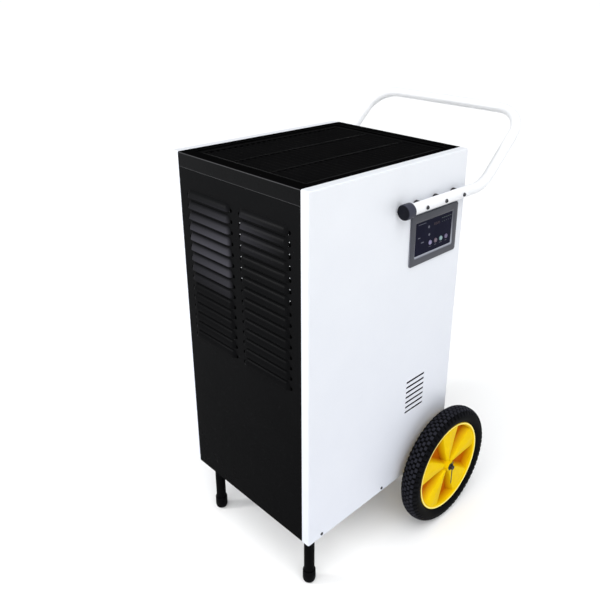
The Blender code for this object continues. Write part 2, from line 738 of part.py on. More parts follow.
def make_air_filter():
    """A washable mesh in a frame, held in the front panel's folds."""
    width, height = 0.376, 0.376
    bm = bmesh.new()
    bmesh.ops.create_grid(bm, x_segments=3, y_segments=3, size=0.5)
    bmesh.ops.scale(bm, vec=(width, height, 1), verts=bm.verts)
    at = place(0, -HALF_DEPTH + 0.0055, LOUVRE_TOP + 0.010 - height / 2)
    mesh = mesh_object("air_filter", bm, "filter_mesh", at, (math.pi / 2, 0, 0))
    wires = mesh.modifiers.new("frame", "WIREFRAME")
    wires.thickness = 0.005
    wires.use_even_offset = True
    wires.use_boundary = True


def finned_coil(name, y):
    """A block of thin fins across the air stream, joined by their tubes along the middle."""
    pitch = 2 * COIL_HALF_WIDTH / COIL_FINS
    fin = 0.45 * pitch
    half = COIL_DEPTH / 2
    core = 0.006
    outline = []
    for i in range(COIL_FINS):
        left = -COIL_HALF_WIDTH + i * pitch
        outline += [(left, core), (left, half), (left + fin, half), (left + fin, core)]
    outline.append((COIL_HALF_WIDTH, core))
    outline += [(x, -d) for x, d in reversed(outline)]
    bm = bmesh.new()
    points = [bm.verts.new((x, d, 0)) for x, d in outline]
    face = bm.faces.new(points)
    if face.normal.z > 0:
        face.normal_flip()
    raised = bmesh.ops.extrude_face_region(bm, geom=[face])["geom"]
    moved = [v for v in raised if isinstance(v, bmesh.types.BMVert)]
    bmesh.ops.translate(bm, vec=(0, 0, COIL_TOP - COIL_BOTTOM), verts=moved)
    bmesh.ops.recalc_face_normals(bm, faces=bm.faces)
    mesh_object(name, bm, "aluminium", place(0, y, COIL_BOTTOM))


def make_coils():
    finned_coil("evaporator_coil", EVAPORATOR_Y)
    finned_coil("condenser_coil", CONDENSER_Y)


def make_drip_tray():
    """The pan under the coils that catches the water."""
    half = HALF_WIDTH - SHEET - GAP
    low = place(-half, EVAPORATOR_Y - COIL_DEPTH / 2 - 0.004, DRIP_BOTTOM)
    high = place(half, CONDENSER_Y + COIL_DEPTH / 2 + 0.010, DRIP_BOTTOM + DRIP_WALL)
    tray = folded_pan("drip_tray", "aluminium", low, high, ("+Z",))
    at = place(0, CONDENSER_Y + COIL_DEPTH / 2 + 0.002, DRIP_BOTTOM)
    cut(tray, cylinder("drip_outlet", None, 0.005, -0.01, 0.01, at, steps=12))


def make_fan_deck():
    """The shelf between coils and outlet, with the ring round the fan and the arms that hold the motor."""
    half = HALF_WIDTH - SHEET - GAP
    front = CONDENSER_Y + COIL_DEPTH / 2 + 0.004
    back = HALF_DEPTH - PANEL_RETURN - 2 * GAP
    low = place(-half, front, FAN_DECK_Z)
    high = place(half, back, FAN_DECK_Z + 0.0015)
    deck = span("fan_deck", "zinc_steel", low, high)
    at = place(0, FAN_Y, 0)
    r = FAN_RING_RADIUS
    ring = [(r + 0.002, 0.962), (r + 0.002, 0.9195), (r, 0.9195), (r, 0.962)]
    cut(deck, cylinder("fan_opening", None, r + 0.001, 0.90, 0.95, at, steps=30))
    join(deck, turned("fan_ring", None, ring, at, steps=30))
    for i in range(3):
        angle = math.radians(90) + i * math.tau / 3
        middle = Vector((math.cos(angle), math.sin(angle), 0)) * 0.110
        size = (0.126, 0.016, 0.0145)
        arm = box(f"motor_arm_{i}", None, size, at + middle + Vector((0, 0, 0.913)), (0, 0, angle))
        join(deck, arm)
    clamp = MOTOR_RADIUS + GAP
    collar = [(clamp + 0.004, 0.914), (clamp + 0.004, 0.885), (clamp, 0.885), (clamp, 0.914)]
    join(deck, turned("motor_collar", None, collar, at, steps=18))


def make_fan():
    """The fan wheel on its shaft, over the motor."""
    at = place(0, FAN_Y, 0.948)
    bore = SHAFT_RADIUS + GAP
    hub = [(0.030, 0.016), (0.034, 0.012), (0.034, -0.016), (bore, -0.016), (bore, 0.016)]
    wheel = turned("fan_wheel", "black_plastic", hub, at, steps=24)
    reach = FAN_RADIUS - 0.030
    for i in range(FAN_BLADES):
        angle = i * math.tau / FAN_BLADES
        bm = cube((reach, 0.062, 0.0022))
        bmesh.ops.rotate(bm, verts=bm.verts, cent=(0, 0, 0), matrix=Matrix.Rotation(math.radians(24), 3, "X"))
        bmesh.ops.translate(bm, vec=(0.030 + reach / 2, 0, 0), verts=bm.verts)
        join(wheel, mesh_object(f"blade_{i}", bm, None, at, (0, 0, angle)))
    cylinder("fan_shaft", "zinc_steel", SHAFT_RADIUS, -0.088, 0.018, at, steps=12)
    make_motor(place(0, FAN_Y, 0))


def make_motor(at):
    r = MOTOR_RADIUS
    bore = SHAFT_RADIUS + GAP
    profile = [(r - 0.006, 0.916), (r, 0.910), (r, 0.850), (r - 0.008, 0.842), (0, 0.842)]
    profile = [(0, 0.856), (bore, 0.856), (bore, 0.916)] + profile
    turned("fan_motor", "zinc_steel", profile, at, steps=18)


# ---------------------------------------------------------------- refrigeration


def make_compressor():
    """A welded can on a foot plate, with its suction accumulator beside it and a stub for the outlet pipe."""
    at = place(*COMPRESSOR, 0)
    r = COMPRESSOR_RADIUS
    top = COMPRESSOR_TOP
    can = [(0, top), (0.030, top - 0.003), (r - 0.010, top - 0.014), (r, top - 0.030)]
    can += [(r, 0.222), (r - 0.012, 0.206), (0.040, 0.200), (0, 0.200)]
    body = turned("compressor", "black_paint", can, at, steps=20)
    join(body, cylinder("foot_plate", None, 0.082, 0.192, 0.204, at, steps=20))
    for i in range(3):
        angle = i * math.tau / 3
        foot = at + Vector((math.cos(angle), math.sin(angle), 0)) * 0.070
        join(body, cylinder(f"foot_{i}", None, 0.009, TRAY_TOP + GAP, 0.194, foot, steps=12))
    tank_at = place(ACCUMULATOR_X, COMPRESSOR[1], 0)
    tank = [(0, 0.402), (0.007, 0.402), (0.007, 0.392), (0.024, 0.380)]
    tank += [(0.024, 0.250), (0.010, 0.238), (0, 0.238)]
    join(body, turned("accumulator", None, tank, tank_at, steps=14))
    strap = place((COMPRESSOR[0] + ACCUMULATOR_X) / 2, COMPRESSOR[1], 0.330)
    join(body, box("accumulator_strap", None, (0.060, 0.020, 0.020), strap))
    outlet = at + Vector((-0.030, 0, 0))
    join(body, cylinder("outlet_stub", None, 0.007, 0.420, 0.452, outlet, steps=12))


def make_pipes():
    """The refrigerant circuit's pipes, and the hose from the drip tray to the drain."""
    side = COIL_HALF_WIDTH + GAP
    run = side + 0.0205
    x, y = COMPRESSOR
    suction = [(side, EVAPORATOR_Y, 0.600), (run, EVAPORATOR_Y, 0.600), (run, y, 0.600)]
    suction += [(ACCUMULATOR_X, y, 0.600), (ACCUMULATOR_X, y, 0.4024)]
    discharge = [(x - 0.030, y, 0.4524), (x - 0.030, y, 0.700), (-run, y, 0.700)]
    discharge += [(-run, CONDENSER_Y, 0.700), (-side, CONDENSER_Y, 0.700)]
    liquid = [(-side, CONDENSER_Y, 0.560), (-run, CONDENSER_Y, 0.560)]
    liquid += [(-run, EVAPORATOR_Y, 0.560), (-side, EVAPORATOR_Y, 0.560)]
    step = math.radians(30)
    for name, corners, radius, bend in (
        ("suction_pipe", suction, PIPE_RADIUS, 0.018),
        ("discharge_pipe", discharge, PIPE_RADIUS, 0.018),
        ("capillary_pipe", liquid, 0.002, 0.012),
    ):
        path = filleted([place(*c) for c in corners], [bend] * (len(corners) - 2), step)
        tube(name, "copper", path, radius)
    outlet_y = CONDENSER_Y + COIL_DEPTH / 2 + 0.002
    hose = [(0, outlet_y, DRIP_BOTTOM - GAP), (0, outlet_y, 0.330), (DRAIN_X, 0.0, 0.260)]
    hose += [(DRAIN_X, 0.120, DRAIN_Z), (DRAIN_X, HALF_DEPTH - 0.0164, DRAIN_Z)]
    path = filleted([place(*c) for c in hose], [0.045] * 3, math.radians(20))
    tube("drain_hose", "clear_hose", path, 0.008)


def make_back_fittings():
    """The drain spout and the cable gland on the back panel."""
    profile = [(0, 0.028), (0.0065, 0.028), (0.0080, 0.022), (0.0065, 0.020), (0.0065, 0.004), (0.014, 0.004)]
    profile += [(0.014, GAP), (0.0085, GAP), (0.0085, -0.016), (0, -0.016)]
    turned("drain_spout", "grey_plastic", profile, place(DRAIN_X, HALF_DEPTH, DRAIN_Z), ALONG_Y, 12)
    profile = [(0.0045, 0.020), (0.009, 0.019), (0.011, 0.013), (0.011, 0.008), (0.014, 0.008), (0.014, GAP)]
    profile += [(0.0085, GAP), (0.0085, -0.010), (0.0045, -0.010)]
    turned("cable_gland", "black_rubber", profile, place(-DRAIN_X, HALF_DEPTH, DRAIN_Z), ALONG_Y, 12)


def main():
    start()
    make_materials()
    make_side_panels()
    make_front_panel()
    make_back_panel()
    make_top_cover()
    make_outlet_grille()
    make_base_tray()
    make_front_legs()
    make_axle()
    make_wheels()
    make_handle()
    make_control_bezel()
    make_display_window()
    make_buttons()
    make_control_board()
    make_electrical_box()
    make_air_filter()
    make_coils()
    make_drip_tray()
    make_fan_deck()
    make_fan()
    make_compressor()
    make_pipes()
    make_back_fittings()


main()
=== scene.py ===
"""The looks of a portable commercial dehumidifier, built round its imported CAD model.

Metres, +Z up. The louvred front faces -Y, the control panel is on the +X side and the push handle is at the
back. Pieces take their places from the boxes of the CAD nodes, and details are set out from there.
"""

import math
import random

import bmesh
import bpy
from mathutils import Matrix, Vector


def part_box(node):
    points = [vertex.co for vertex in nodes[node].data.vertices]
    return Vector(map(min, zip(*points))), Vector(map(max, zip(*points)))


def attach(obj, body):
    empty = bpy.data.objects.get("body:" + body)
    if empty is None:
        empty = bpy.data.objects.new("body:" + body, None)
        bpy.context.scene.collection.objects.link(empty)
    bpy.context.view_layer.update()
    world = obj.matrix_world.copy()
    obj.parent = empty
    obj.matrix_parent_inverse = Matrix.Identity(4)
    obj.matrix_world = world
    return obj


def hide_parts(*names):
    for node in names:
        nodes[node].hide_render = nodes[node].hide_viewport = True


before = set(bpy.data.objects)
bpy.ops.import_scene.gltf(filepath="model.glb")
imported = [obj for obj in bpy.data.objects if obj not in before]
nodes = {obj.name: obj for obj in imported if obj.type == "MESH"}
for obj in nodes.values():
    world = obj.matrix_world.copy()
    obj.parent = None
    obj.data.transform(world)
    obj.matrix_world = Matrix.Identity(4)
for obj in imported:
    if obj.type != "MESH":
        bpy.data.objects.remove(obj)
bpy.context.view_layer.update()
random.seed(7)

SHEET = 0.0012
SEAM = 0.0004
ROOT = "cabinet"
SIDES = ((1, "right"), (-1, "left"))

# The cabinet's planes.
PANEL_LOW, PANEL_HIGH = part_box("side_panel_right")
HALF_WIDTH = PANEL_HIGH.x
INNER_WIDTH = PANEL_LOW.x
FRONT, BACK = PANEL_LOW.y, PANEL_HIGH.y
BOTTOM, TOP = PANEL_LOW.z, PANEL_HIGH.z
MIDDLE_Y = (FRONT + BACK) / 2
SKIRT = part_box("top_cover")[0].z


# ---- Materials


class Shader:
    """A material's node tree round one Principled shader."""

    def __init__(self, name, roughness, metallic=0.0, specular=0.5):
        self.material = bpy.data.materials.new(name)
        self.material.use_nodes = True
        self.tree = self.material.node_tree
        self.main = self.tree.nodes["Principled BSDF"]
        self.set("Roughness", roughness)
        self.set("Metallic", metallic)
        self.set("Specular IOR Level", specular)
        self.place = self.node("ShaderNodeTexCoord").outputs["Object"]

    def set(self, socket, value):
        self.main.inputs[socket].default_value = value

    def node(self, kind, **settings):
        made = self.tree.nodes.new(kind)
        for key, value in settings.items():
            setattr(made, key, value)
        return made

    def link(self, output, target):
        self.tree.links.new(output, target)

    def noise(self, scale, detail=3.0, stretch=(1, 1, 1)):
        """Noise over the object's own space. Stretch makes streaks."""
        place = self.node("ShaderNodeMapping")
        place.inputs["Scale"].default_value = stretch
        self.link(self.place, place.inputs["Vector"])
        made = self.node("ShaderNodeTexNoise")
        made.inputs["Scale"].default_value = scale
        made.inputs["Detail"].default_value = detail
        made.inputs["Roughness"].default_value = 0.55
        self.link(place.outputs["Vector"], made.inputs["Vector"])
        return made.outputs["Fac"]

    def ramp(self, factor, *stops):
        """A colour ramp of (position, colour) stops. A colour may be one grey level."""
        made = self.node("ShaderNodeValToRGB")
        points = made.color_ramp.elements
        while len(points) < len(stops):
            points.new(0.5)
        for point, (position, color) in zip(points, stops):
            point.position = position
            point.color = (*color, 1.0) if isinstance(color, tuple) else (color, color, color, 1.0)
        self.link(factor, made.inputs["Fac"])
        return made.outputs["Color"]

    def mix(self, factor, first, second, blend="MIX"):
        """Mixes two colours. Each is an output or a plain colour, and so is the factor."""
        made = self.node("ShaderNodeMix", data_type="RGBA", blend_type=blend)
        for socket, value in ((0, factor), (6, first), (7, second)):
            if isinstance(value, bpy.types.NodeSocket):
                self.link(value, made.inputs[socket])
            elif socket == 0:
                made.inputs[socket].default_value = value
            else:
                made.inputs[socket].default_value = (*value, 1.0)
        return made.outputs[2]

    def between(self, factor, low, high, first, second):
        """The first colour where the factor is under low, and the second where it is over high."""
        return self.mix(self.ramp(factor, (low, 0.0), (high, 1.0)), first, second)

    def remap(self, value, end, low, high):
        """Maps a value. Its limits are low and high at one end, From or To, and 0 and 1 at the other."""
        made = self.node("ShaderNodeMapRange")
        made.inputs[f"{end} Min"].default_value = low
        made.inputs[f"{end} Max"].default_value = high
        self.link(value, made.inputs["Value"])
        return made.outputs["Result"]

    def band(self, axis, low, high):
        """0 at low and 1 at high, along one axis of the object's space."""
        split = self.node("ShaderNodeSeparateXYZ")
        self.link(self.place, split.inputs["Vector"])
        return self.remap(split.outputs[axis], "From", low, high)

    def wear_and_painted_light(self, attribute="wear_and_painted_light"):
        """The value that the mesh stores at each point, for wear and for painted light and shade."""
        return self.node("ShaderNodeAttribute", attribute_name=attribute).outputs["Fac"]

    def color(self, output):
        self.link(output, self.main.inputs["Base Color"])

    def roughness(self, factor, low, high):
        self.link(self.remap(factor, "To", low, high), self.main.inputs["Roughness"])

    def bump(self, *layers):
        """Bumps of (height output, distance in metres, strength), one on top of another."""
        normal = None
        for height, distance, strength in layers:
            made = self.node("ShaderNodeBump")
            made.inputs["Distance"].default_value = distance
            made.inputs["Strength"].default_value = strength
            self.link(height, made.inputs["Height"])
            if normal:
                self.link(normal, made.inputs["Normal"])
            normal = made.outputs["Normal"]
        self.link(normal, self.main.inputs["Normal"])


def scaled(color, by):
    return tuple(by * level for level in color)


def painted(name, light, dark, roughness, specular, peel, dust, floor_shade=(0.90, 0.91, 0.955), marks=None):
    """Powder coat: orange peel, faint clouds, specks of dust, painted shade towards the floor, and marks of
    painted light.
    """
    shader = Shader(name, roughness, specular=specular)
    cloud = shader.noise(7.0, 4.0)
    plain = shader.between(cloud, 0.30, 0.72, dark, light)
    # Painted shade: the colour darkens towards the floor.
    height = shader.ramp(shader.band("Z", BOTTOM, TOP), (0.0, floor_shade), (1.0, 1.0))
    base = shader.mix(1.0, plain, height, "MULTIPLY")
    speckle = shader.ramp(shader.noise(420.0, 2.0), (0.62, 0.0), (0.74, 1.0))
    low = shader.ramp(shader.band("Z", BOTTOM + 0.22, BOTTOM), (0.0, 0.0), (1.0, 0.55))
    soiled = shader.mix(low, speckle, (0.5, 0.5, 0.5), "MULTIPLY")
    paint = shader.mix(shader.ramp(soiled, (0.0, 0.0), (1.0, 0.22)), base, dust)
    shader.color(marks(shader, paint) if marks else paint)
    shader.roughness(shader.noise(26.0, 5.0), roughness * 0.85, roughness * 1.2)
    shader.bump((shader.noise(900.0, 1.0), 0.00006, peel), (shader.noise(60.0, 2.0), 0.0002, peel * 0.5))
    return shader.material


def louvre_painted_highlight(shader, paint):
    """A painted highlight on the crowns of the louvres."""
    return shader.mix(shader.wear_and_painted_light(), paint, (0.046, 0.045, 0.054))


def cover_painted_light(shader, paint):
    """A painted darker, duller top, and painted highlights along the top fold and the skirt's lower edge."""
    top = shader.band("Z", TOP - 0.0009, TOP - 0.0003)
    shader.link(shader.ramp(top, (0.0, 0.016), (1.0, 0.0)), shader.main.inputs["Specular IOR Level"])
    # Painted shade: a darker top face.
    painted_dark_top = shader.mix(top, paint, (0.0020, 0.0020, 0.0021))
    height = shader.band("Z", TOP - 0.0032, TOP)
    # Painted highlight along the fold of the top edge.
    fold = shader.ramp(height, (0.20, 0.0), (0.36, 1.0), (0.66, 1.0), (0.84, 0.0))
    # Painted highlight along the skirt's lower edge, at the seam with the front panel.
    seam_highlight = shader.band("Z", SKIRT + 0.0016, SKIRT + 0.0009)
    return shader.mix(seam_highlight, shader.mix(fold, painted_dark_top, (0.050, 0.050, 0.052)), (0.045, 0.045, 0.047))


def make_black_paint(name, marks=None, specular=0.016):
    # Painted shade: the black darkens to about a quarter towards the floor.
    return painted(name, (0.0066, 0.0067, 0.0071), (0.0056, 0.0057, 0.0061), 0.27, specular, 0.30,
                   (0.006, 0.0058, 0.0056), (0.27, 0.27, 0.29), marks)


def metal(name, light, dark, roughness, streak, stretch):
    """Plated or drawn metal with fine streaks and dull patches."""
    shader = Shader(name, roughness, metallic=1.0)
    streaks = shader.noise(streak, 4.0, stretch)
    patches = shader.noise(38.0, 4.0)
    base = shader.between(streaks, 0.30, 0.70, dark, light)
    shader.color(shader.mix(shader.ramp(patches, (0.55, 0.0), (0.80, 0.5)), base, dark))
    shader.roughness(patches, roughness * 0.75, roughness * 1.4)
    shader.bump((streaks, 0.00005, 0.35))
    return shader.material


def make_yellow_plastic():
    """Wheel plastic with a faint grain, warm painted shade where it is deep, a pale painted highlight on the
    lip.
    """
    shader = Shader("yellow plastic", 0.36, specular=0.02)
    shader.set("Subsurface Weight", 0.03)
    shader.set("Subsurface Radius", (0.012, 0.006, 0.001))
    shader.set("Subsurface Scale", 0.6)
    cloud = shader.noise(30.0, 3.0)
    face = shader.between(cloud, 0.35, 0.70, (0.68, 0.455, 0.001), (0.73, 0.505, 0.002))
    lit = shader.mix(shader.wear_and_painted_light("lip"), face, (0.95, 0.86, 0.30))
    shader.color(shader.mix(shader.wear_and_painted_light("depth"), lit, (0.44, 0.110, 0.001)))
    shader.roughness(cloud, 0.30, 0.44)
    shader.bump((shader.noise(700.0, 2.0), 0.00005, 0.35))
    return shader.material


def rubber(name, base, worn_and_highlight, roughness, grain, specular):
    """Black rubber with a matt grain, and greyer where it wears."""
    shader = Shader(name, roughness, specular=specular)
    cloud = shader.noise(24.0, 5.0)
    plain = shader.between(cloud, 0.35, 0.75, base, scaled(base, 2.0))
    rubbed = shader.mix(0.5, shader.wear_and_painted_light(), shader.noise(90.0, 4.0), "MULTIPLY")
    shader.color(shader.between(rubbed, 0.25, 0.85, plain, worn_and_highlight))
    shader.roughness(cloud, roughness * 0.85, roughness * 1.15)
    shader.bump((shader.noise(grain, 3.0), 0.0001, 0.45))
    return shader.material


def moulded(name, light, dark, roughness, specular, grain, depth=0.00008, worn_and_highlight=(0.2, 0.2, 0.2)):
    """Moulded plastic with a spark-eroded grain, paler where the mesh paints a highlight."""
    shader = Shader(name, roughness, specular=specular)
    plain = shader.between(shader.noise(18.0, 3.0), 0.32, 0.72, dark, light)
    shader.color(shader.mix(shader.wear_and_painted_light(), plain, worn_and_highlight))
    shader.roughness(shader.noise(60.0, 3.0), roughness * 0.85, roughness * 1.15)
    shader.bump((shader.noise(grain, 2.0), depth, 0.5))
    return shader.material


def make_window():
    """Smoked acrylic over the display: near black, polished, with fine wipe marks."""
    shader = Shader("smoked window", 0.10, specular=0.02)
    smear = shader.noise(14.0, 5.0, (1, 3, 1))
    shader.color(shader.ramp(smear, (0.25, (0.0050, 0.0052, 0.0150)), (0.80, (0.0080, 0.0082, 0.0200))))
    shader.roughness(smear, 0.06, 0.20)
    shader.bump((shader.noise(240.0, 2.0), 0.00002, 0.15))
    return shader.material


def glowing(name, base, light, strength):
    """Ink or a key lit from behind, a little uneven."""
    shader = Shader(name, 0.30, specular=0.4)
    uneven = shader.noise(260.0, 3.0)
    shader.color(shader.ramp(uneven, (0.30, scaled(base, 0.75)), (0.75, base)))
    glow = shader.ramp(uneven, (0.25, scaled(light, 0.7)), (0.80, light))
    shader.link(glow, shader.main.inputs["Emission Color"])
    shader.set("Emission Strength", strength)
    shader.roughness(uneven, 0.22, 0.40)
    shader.bump((uneven, 0.00003, 0.25))
    return shader.material


def make_circuit_board():
    """Green solder mask over a grid of tracks."""
    shader = Shader("circuit board", 0.45)
    tracks = shader.node("ShaderNodeTexBrick")
    tracks.inputs["Scale"].default_value = 120.0
    tracks.inputs["Mortar Size"].default_value = 0.03
    greens = ((0.012, 0.13, 0.05, 1), (0.016, 0.16, 0.06, 1), (0.05, 0.26, 0.10, 1))
    for socket, green in zip(("Color1", "Color2", "Mortar"), greens):
        tracks.inputs[socket].default_value = green
    shader.link(shader.place, tracks.inputs["Vector"])
    shader.color(tracks.outputs["Color"])
    shader.roughness(shader.noise(80.0), 0.35, 0.55)
    shader.bump((tracks.outputs["Fac"], 0.00005, 0.3))
    return shader.material


def make_filter_mesh():
    """A dark woven mesh."""
    shader = Shader("filter mesh", 0.8)
    weave = shader.node("ShaderNodeTexWave", wave_type="BANDS", bands_direction="DIAGONAL")
    weave.inputs["Scale"].default_value = 180.0
    shader.link(shader.place, weave.inputs["Vector"])
    shader.color(shader.ramp(weave.outputs["Fac"], (0.2, 0.03), (0.8, 0.10)))
    shader.roughness(weave.outputs["Fac"], 0.7, 0.9)
    shader.bump((weave.outputs["Fac"], 0.0003, 0.6))
    return shader.material


# Paints: light and dark shade, roughness, specular level, orange peel, dust.
WHITE = painted("white paint", (0.682, 0.70, 0.735), (0.658, 0.678, 0.716), 0.34, 0.45, 0.35,
                dust=(0.56, 0.55, 0.52))
HANDLE_WHITE = painted("handle paint", (0.74, 0.75, 0.765), (0.72, 0.73, 0.75), 0.36, 0.4, 0.10,
                       dust=(0.60, 0.58, 0.54))
BLACK = make_black_paint("black paint")
LOUVRE_PAINT = make_black_paint("louvre paint", louvre_painted_highlight, 0.005)
COVER_PAINT = make_black_paint("cover paint", cover_painted_light)
DARK = painted("dark paint", (0.0030, 0.0030, 0.0032), (0.0022, 0.0022, 0.0024), 0.50, 0.010, 0.4,
               dust=(0.03, 0.029, 0.027))

# Metals: light and dark shade, roughness, how fine the streaks are and how they stretch.
ZINC = metal("zinc plate", (0.62, 0.63, 0.64), (0.40, 0.41, 0.43), 0.32, 240.0, (1, 1, 0.25))
DARK_STEEL = metal("dark steel", (0.085, 0.085, 0.092), (0.045, 0.045, 0.050), 0.40, 200.0, (1, 1, 0.4))
ALUMINIUM = metal("aluminium fins", (0.74, 0.75, 0.76), (0.52, 0.53, 0.55), 0.38, 300.0, (3, 1, 0.1))
COPPER = metal("drawn copper", (0.78, 0.40, 0.24), (0.46, 0.22, 0.13), 0.28, 160.0, (1, 1, 1))

# Rubbers: plain and worn shade, roughness, how fine the grain is, specular level.
TYRE = rubber("tyre rubber", (0.0018, 0.0019, 0.0022), (0.020, 0.0205, 0.027), 0.50, 520.0, 0.015)
RUBBER = rubber("moulded rubber", (0.0014, 0.0014, 0.0017), (0.005, 0.0049, 0.0048), 0.50, 800.0, 0.02)
SADDLE = rubber("saddle rubber", (0.020, 0.018, 0.019), (0.060, 0.056, 0.056), 0.55, 700.0, 0.10)

# Plastics: light and dark shade, roughness, specular level, how fine the grain is.
# Its paler colour is a painted highlight on the bezel's inner edge.
GREY = moulded("bezel plastic", (0.058, 0.060, 0.073), (0.048, 0.050, 0.062), 0.44, 0.22, 950.0,
               worn_and_highlight=(0.34, 0.355, 0.41))
# Its paler colour is a painted highlight on the cap's side wall.
CAP = moulded("cap plastic", (0.0090, 0.0095, 0.0140), (0.0066, 0.0071, 0.0108), 0.34, 0.06, 800.0,
              worn_and_highlight=(0.040, 0.042, 0.058))
BLACK_PLASTIC = moulded("fan plastic", (0.014, 0.014, 0.016), (0.009, 0.009, 0.010), 0.5, 0.4, 700.0)
# Near-black, for discs painted as the shade in the louvres' open ends.
PAINTED_HOLE_SHADE = moulded("louvre opening", (0.0006, 0.0006, 0.0006), (0.0004, 0.0004, 0.0004), 0.9, 0.0, 500.0)
HOSE = moulded("drain hose", (0.50, 0.52, 0.53), (0.36, 0.38, 0.40), 0.35, 0.5, 300.0, depth=0.0002)
YELLOW = make_yellow_plastic()
WINDOW = make_window()
BOARD = make_circuit_board()
FILTER = make_filter_mesh()


# ---- Mesh helpers


def finish_piece(obj, material, body, slot, *replaced):
    """Gives a piece its material and its body, and hides the CAD nodes that it stands for. Its slot is not
    used.
    """
    obj.data.materials.clear()
    obj.data.materials.append(material)
    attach(obj, body)
    if replaced:
        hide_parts(*replaced)


def to_object(name, bm):
    mesh = bpy.data.meshes.new(name)
    bm.normal_update()
    bm.to_mesh(mesh)
    bm.free()
    obj = bpy.data.objects.new(name, mesh)
    bpy.context.scene.collection.objects.link(obj)
    return obj


def smooth(obj, angle=35):
    """Shades an object smooth, apart from edges sharper than an angle in degrees."""
    obj.data.shade_smooth()
    obj.data.set_sharp_from_angle(angle=math.radians(angle))
    return obj


def solid(name, bm, angle=35):
    """An object of closed shells, with their faces turned outwards."""
    bmesh.ops.recalc_face_normals(bm, faces=bm.faces)
    return smooth(to_object(name, bm), angle)


def modifier(obj, kind, **settings):
    made = obj.modifiers.new(kind.lower(), kind)
    for key, value in settings.items():
        setattr(made, key, value)


def apply_modifiers(obj):
    """Bakes the modifiers into the mesh, so that what follows works on the final shape."""
    graph = bpy.context.evaluated_depsgraph_get()
    mesh = bpy.data.meshes.new_from_object(obj.evaluated_get(graph))
    obj.modifiers.clear()
    obj.data = mesh


def rounded_box(bm, low, high, radius=0.0, segments=2):
    """Adds a box, with rounded edges where a radius is given."""
    low, high = Vector(low), Vector(high)
    made = bmesh.ops.create_cube(bm, size=1.0)["verts"]
    bmesh.ops.scale(bm, vec=high - low, verts=made)
    bmesh.ops.translate(bm, vec=(low + high) / 2, verts=made)
    if radius:
        edges = list({e for v in made for e in v.link_edges})
        bmesh.ops.bevel(bm, geom=edges, offset=radius, segments=segments, profile=0.5, affect="EDGES")


def placed_box(bm, half, matrix, radius=0.0):
    """Adds a box about the origin and moves it by a matrix."""
    before = set(bm.verts)
    rounded_box(bm, -half, half, radius, 1)
    made = [v for v in bm.verts if v not in before]
    bmesh.ops.transform(bm, matrix=matrix, verts=made)


def turn_to(axis):
    """The rotation that takes +Z to an axis."""
    return Vector((0, 0, 1)).rotation_difference(Vector(axis)).to_matrix().to_4x4()


def join_rings(bm, rings, closed=False):
    """Faces from each ring of points to the next. A ring may be a single point."""
    pairs = list(zip(rings, rings[1:]))
    if closed:
        pairs.append((rings[-1], rings[0]))
    for first, second in pairs:
        for i in range(max(len(first), len(second))):
            near = (first[i % len(first)], first[(i + 1) % len(first)])
            far = (second[(i + 1) % len(second)], second[i % len(second)])
            corners = list(dict.fromkeys(near + far))
            if len(corners) > 2:
                bm.faces.new(corners)


def loft(bm, rings):
    """Joins rings and closes both ends."""
    join_rings(bm, rings)
    bm.faces.new(rings[0][::-1])
    bm.faces.new(rings[-1])


def lathe(bm, profile, centre, axis, steps=48):
    """Turns a closed or axis-to-axis (radius, height) profile round an axis through centre."""
    place = Matrix.Translation(centre) @ turn_to(axis)
    turns = [math.tau * i / steps for i in range(steps)]
    rings = []
    for r, h in profile:
        around = turns if r > 0 else [0.0]
        rings.append([bm.verts.new(place @ Vector((r * math.cos(a), r * math.sin(a), h))) for a in around])
    join_rings(bm, rings, len(rings[0]) > 1)


def turned(name, profile, centre, axis, steps=48, angle=35):
    """An object that is one lathed profile."""
    bm = bmesh.new()
    lathe(bm, profile, centre, axis, steps)
    return solid(name, bm, angle)


def swept(name, path, radius, sides):
    """An object that is a circle swept along a path, turning as little as it can."""
    bm = bmesh.new()
    path = [Vector(p) for p in path]
    turns = [math.tau * k / sides for k in range(sides)]
    rings = []
    side = (path[1] - path[0]).normalized().orthogonal().normalized()
    for before, point, after in zip([path[0], *path], path, [*path[1:], path[-1]]):
        along = (after - before).normalized()
        side = (side - along * side.dot(along)).normalized()
        other = along.cross(side)
        spokes = [math.cos(a) * side + math.sin(a) * other for a in turns]
        rings.append([bm.verts.new(point + radius * spoke) for spoke in spokes])
    loft(bm, rings)
    return solid(name, bm)


def paint_attribute(obj, name, value_of):
    """Stores a number at each point for a material to read."""
    values = obj.data.attributes.new(name, "FLOAT", "POINT")
    for v in obj.data.vertices:
        values.data[v.index].value = value_of(v.co)


def half_size(name):
    low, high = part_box(name)
    return (high - low) / 2


def node_middle(name):
    low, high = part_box(name)
    return (low + high) / 2


def span(side, name):
    """How far a node's two ends are from the middle plane, the nearer one first."""
    low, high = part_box(name)
    return sorted((side * low.x, side * high.x))


# ---- Front panel

LOUVRES = 15
COLUMN_X = 0.0888
LOUVRE_LENGTH = 0.146
LOUVRE_TOP = 0.908
LOUVRE_PITCH = 0.0244
LOUVRE_RISE = 0.017
LOUVRE_SLIT = 0.0015
LOUVRE_END = 0.010
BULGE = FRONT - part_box("front_panel")[0].y
SPREAD = (0.0, 0.03, 0.12, 0.28, 0.50, 0.76, 1.0)
FOLD_RADIUS = 0.0022
FOLD_DEPTH = 0.014
# Thin discs painted as the shade in the open ends of the louvres.
END_SHADE_DISC = ((0, 0.0), (0.0040, 0.0), (0.0040, 0.00012), (0, 0.00012))
# Pale metal specks: painted glints near the ends of some louvres.
GLINT = ((0, 0.0), (0.0013, 0.0), (0.0009, 0.0004), (0, 0.0005))
GLINT_ROWS = range(1, 7)


def bulge_at(inside, below):
    """How far a louvre stands out, from 0 to 1, at shares of its end and of its rise."""
    off = max(0.0, 1.0 - inside) ** 2 + max(0.0, 1.0 - below) ** 2
    return max(0.0, 1.0 - off) ** 0.62


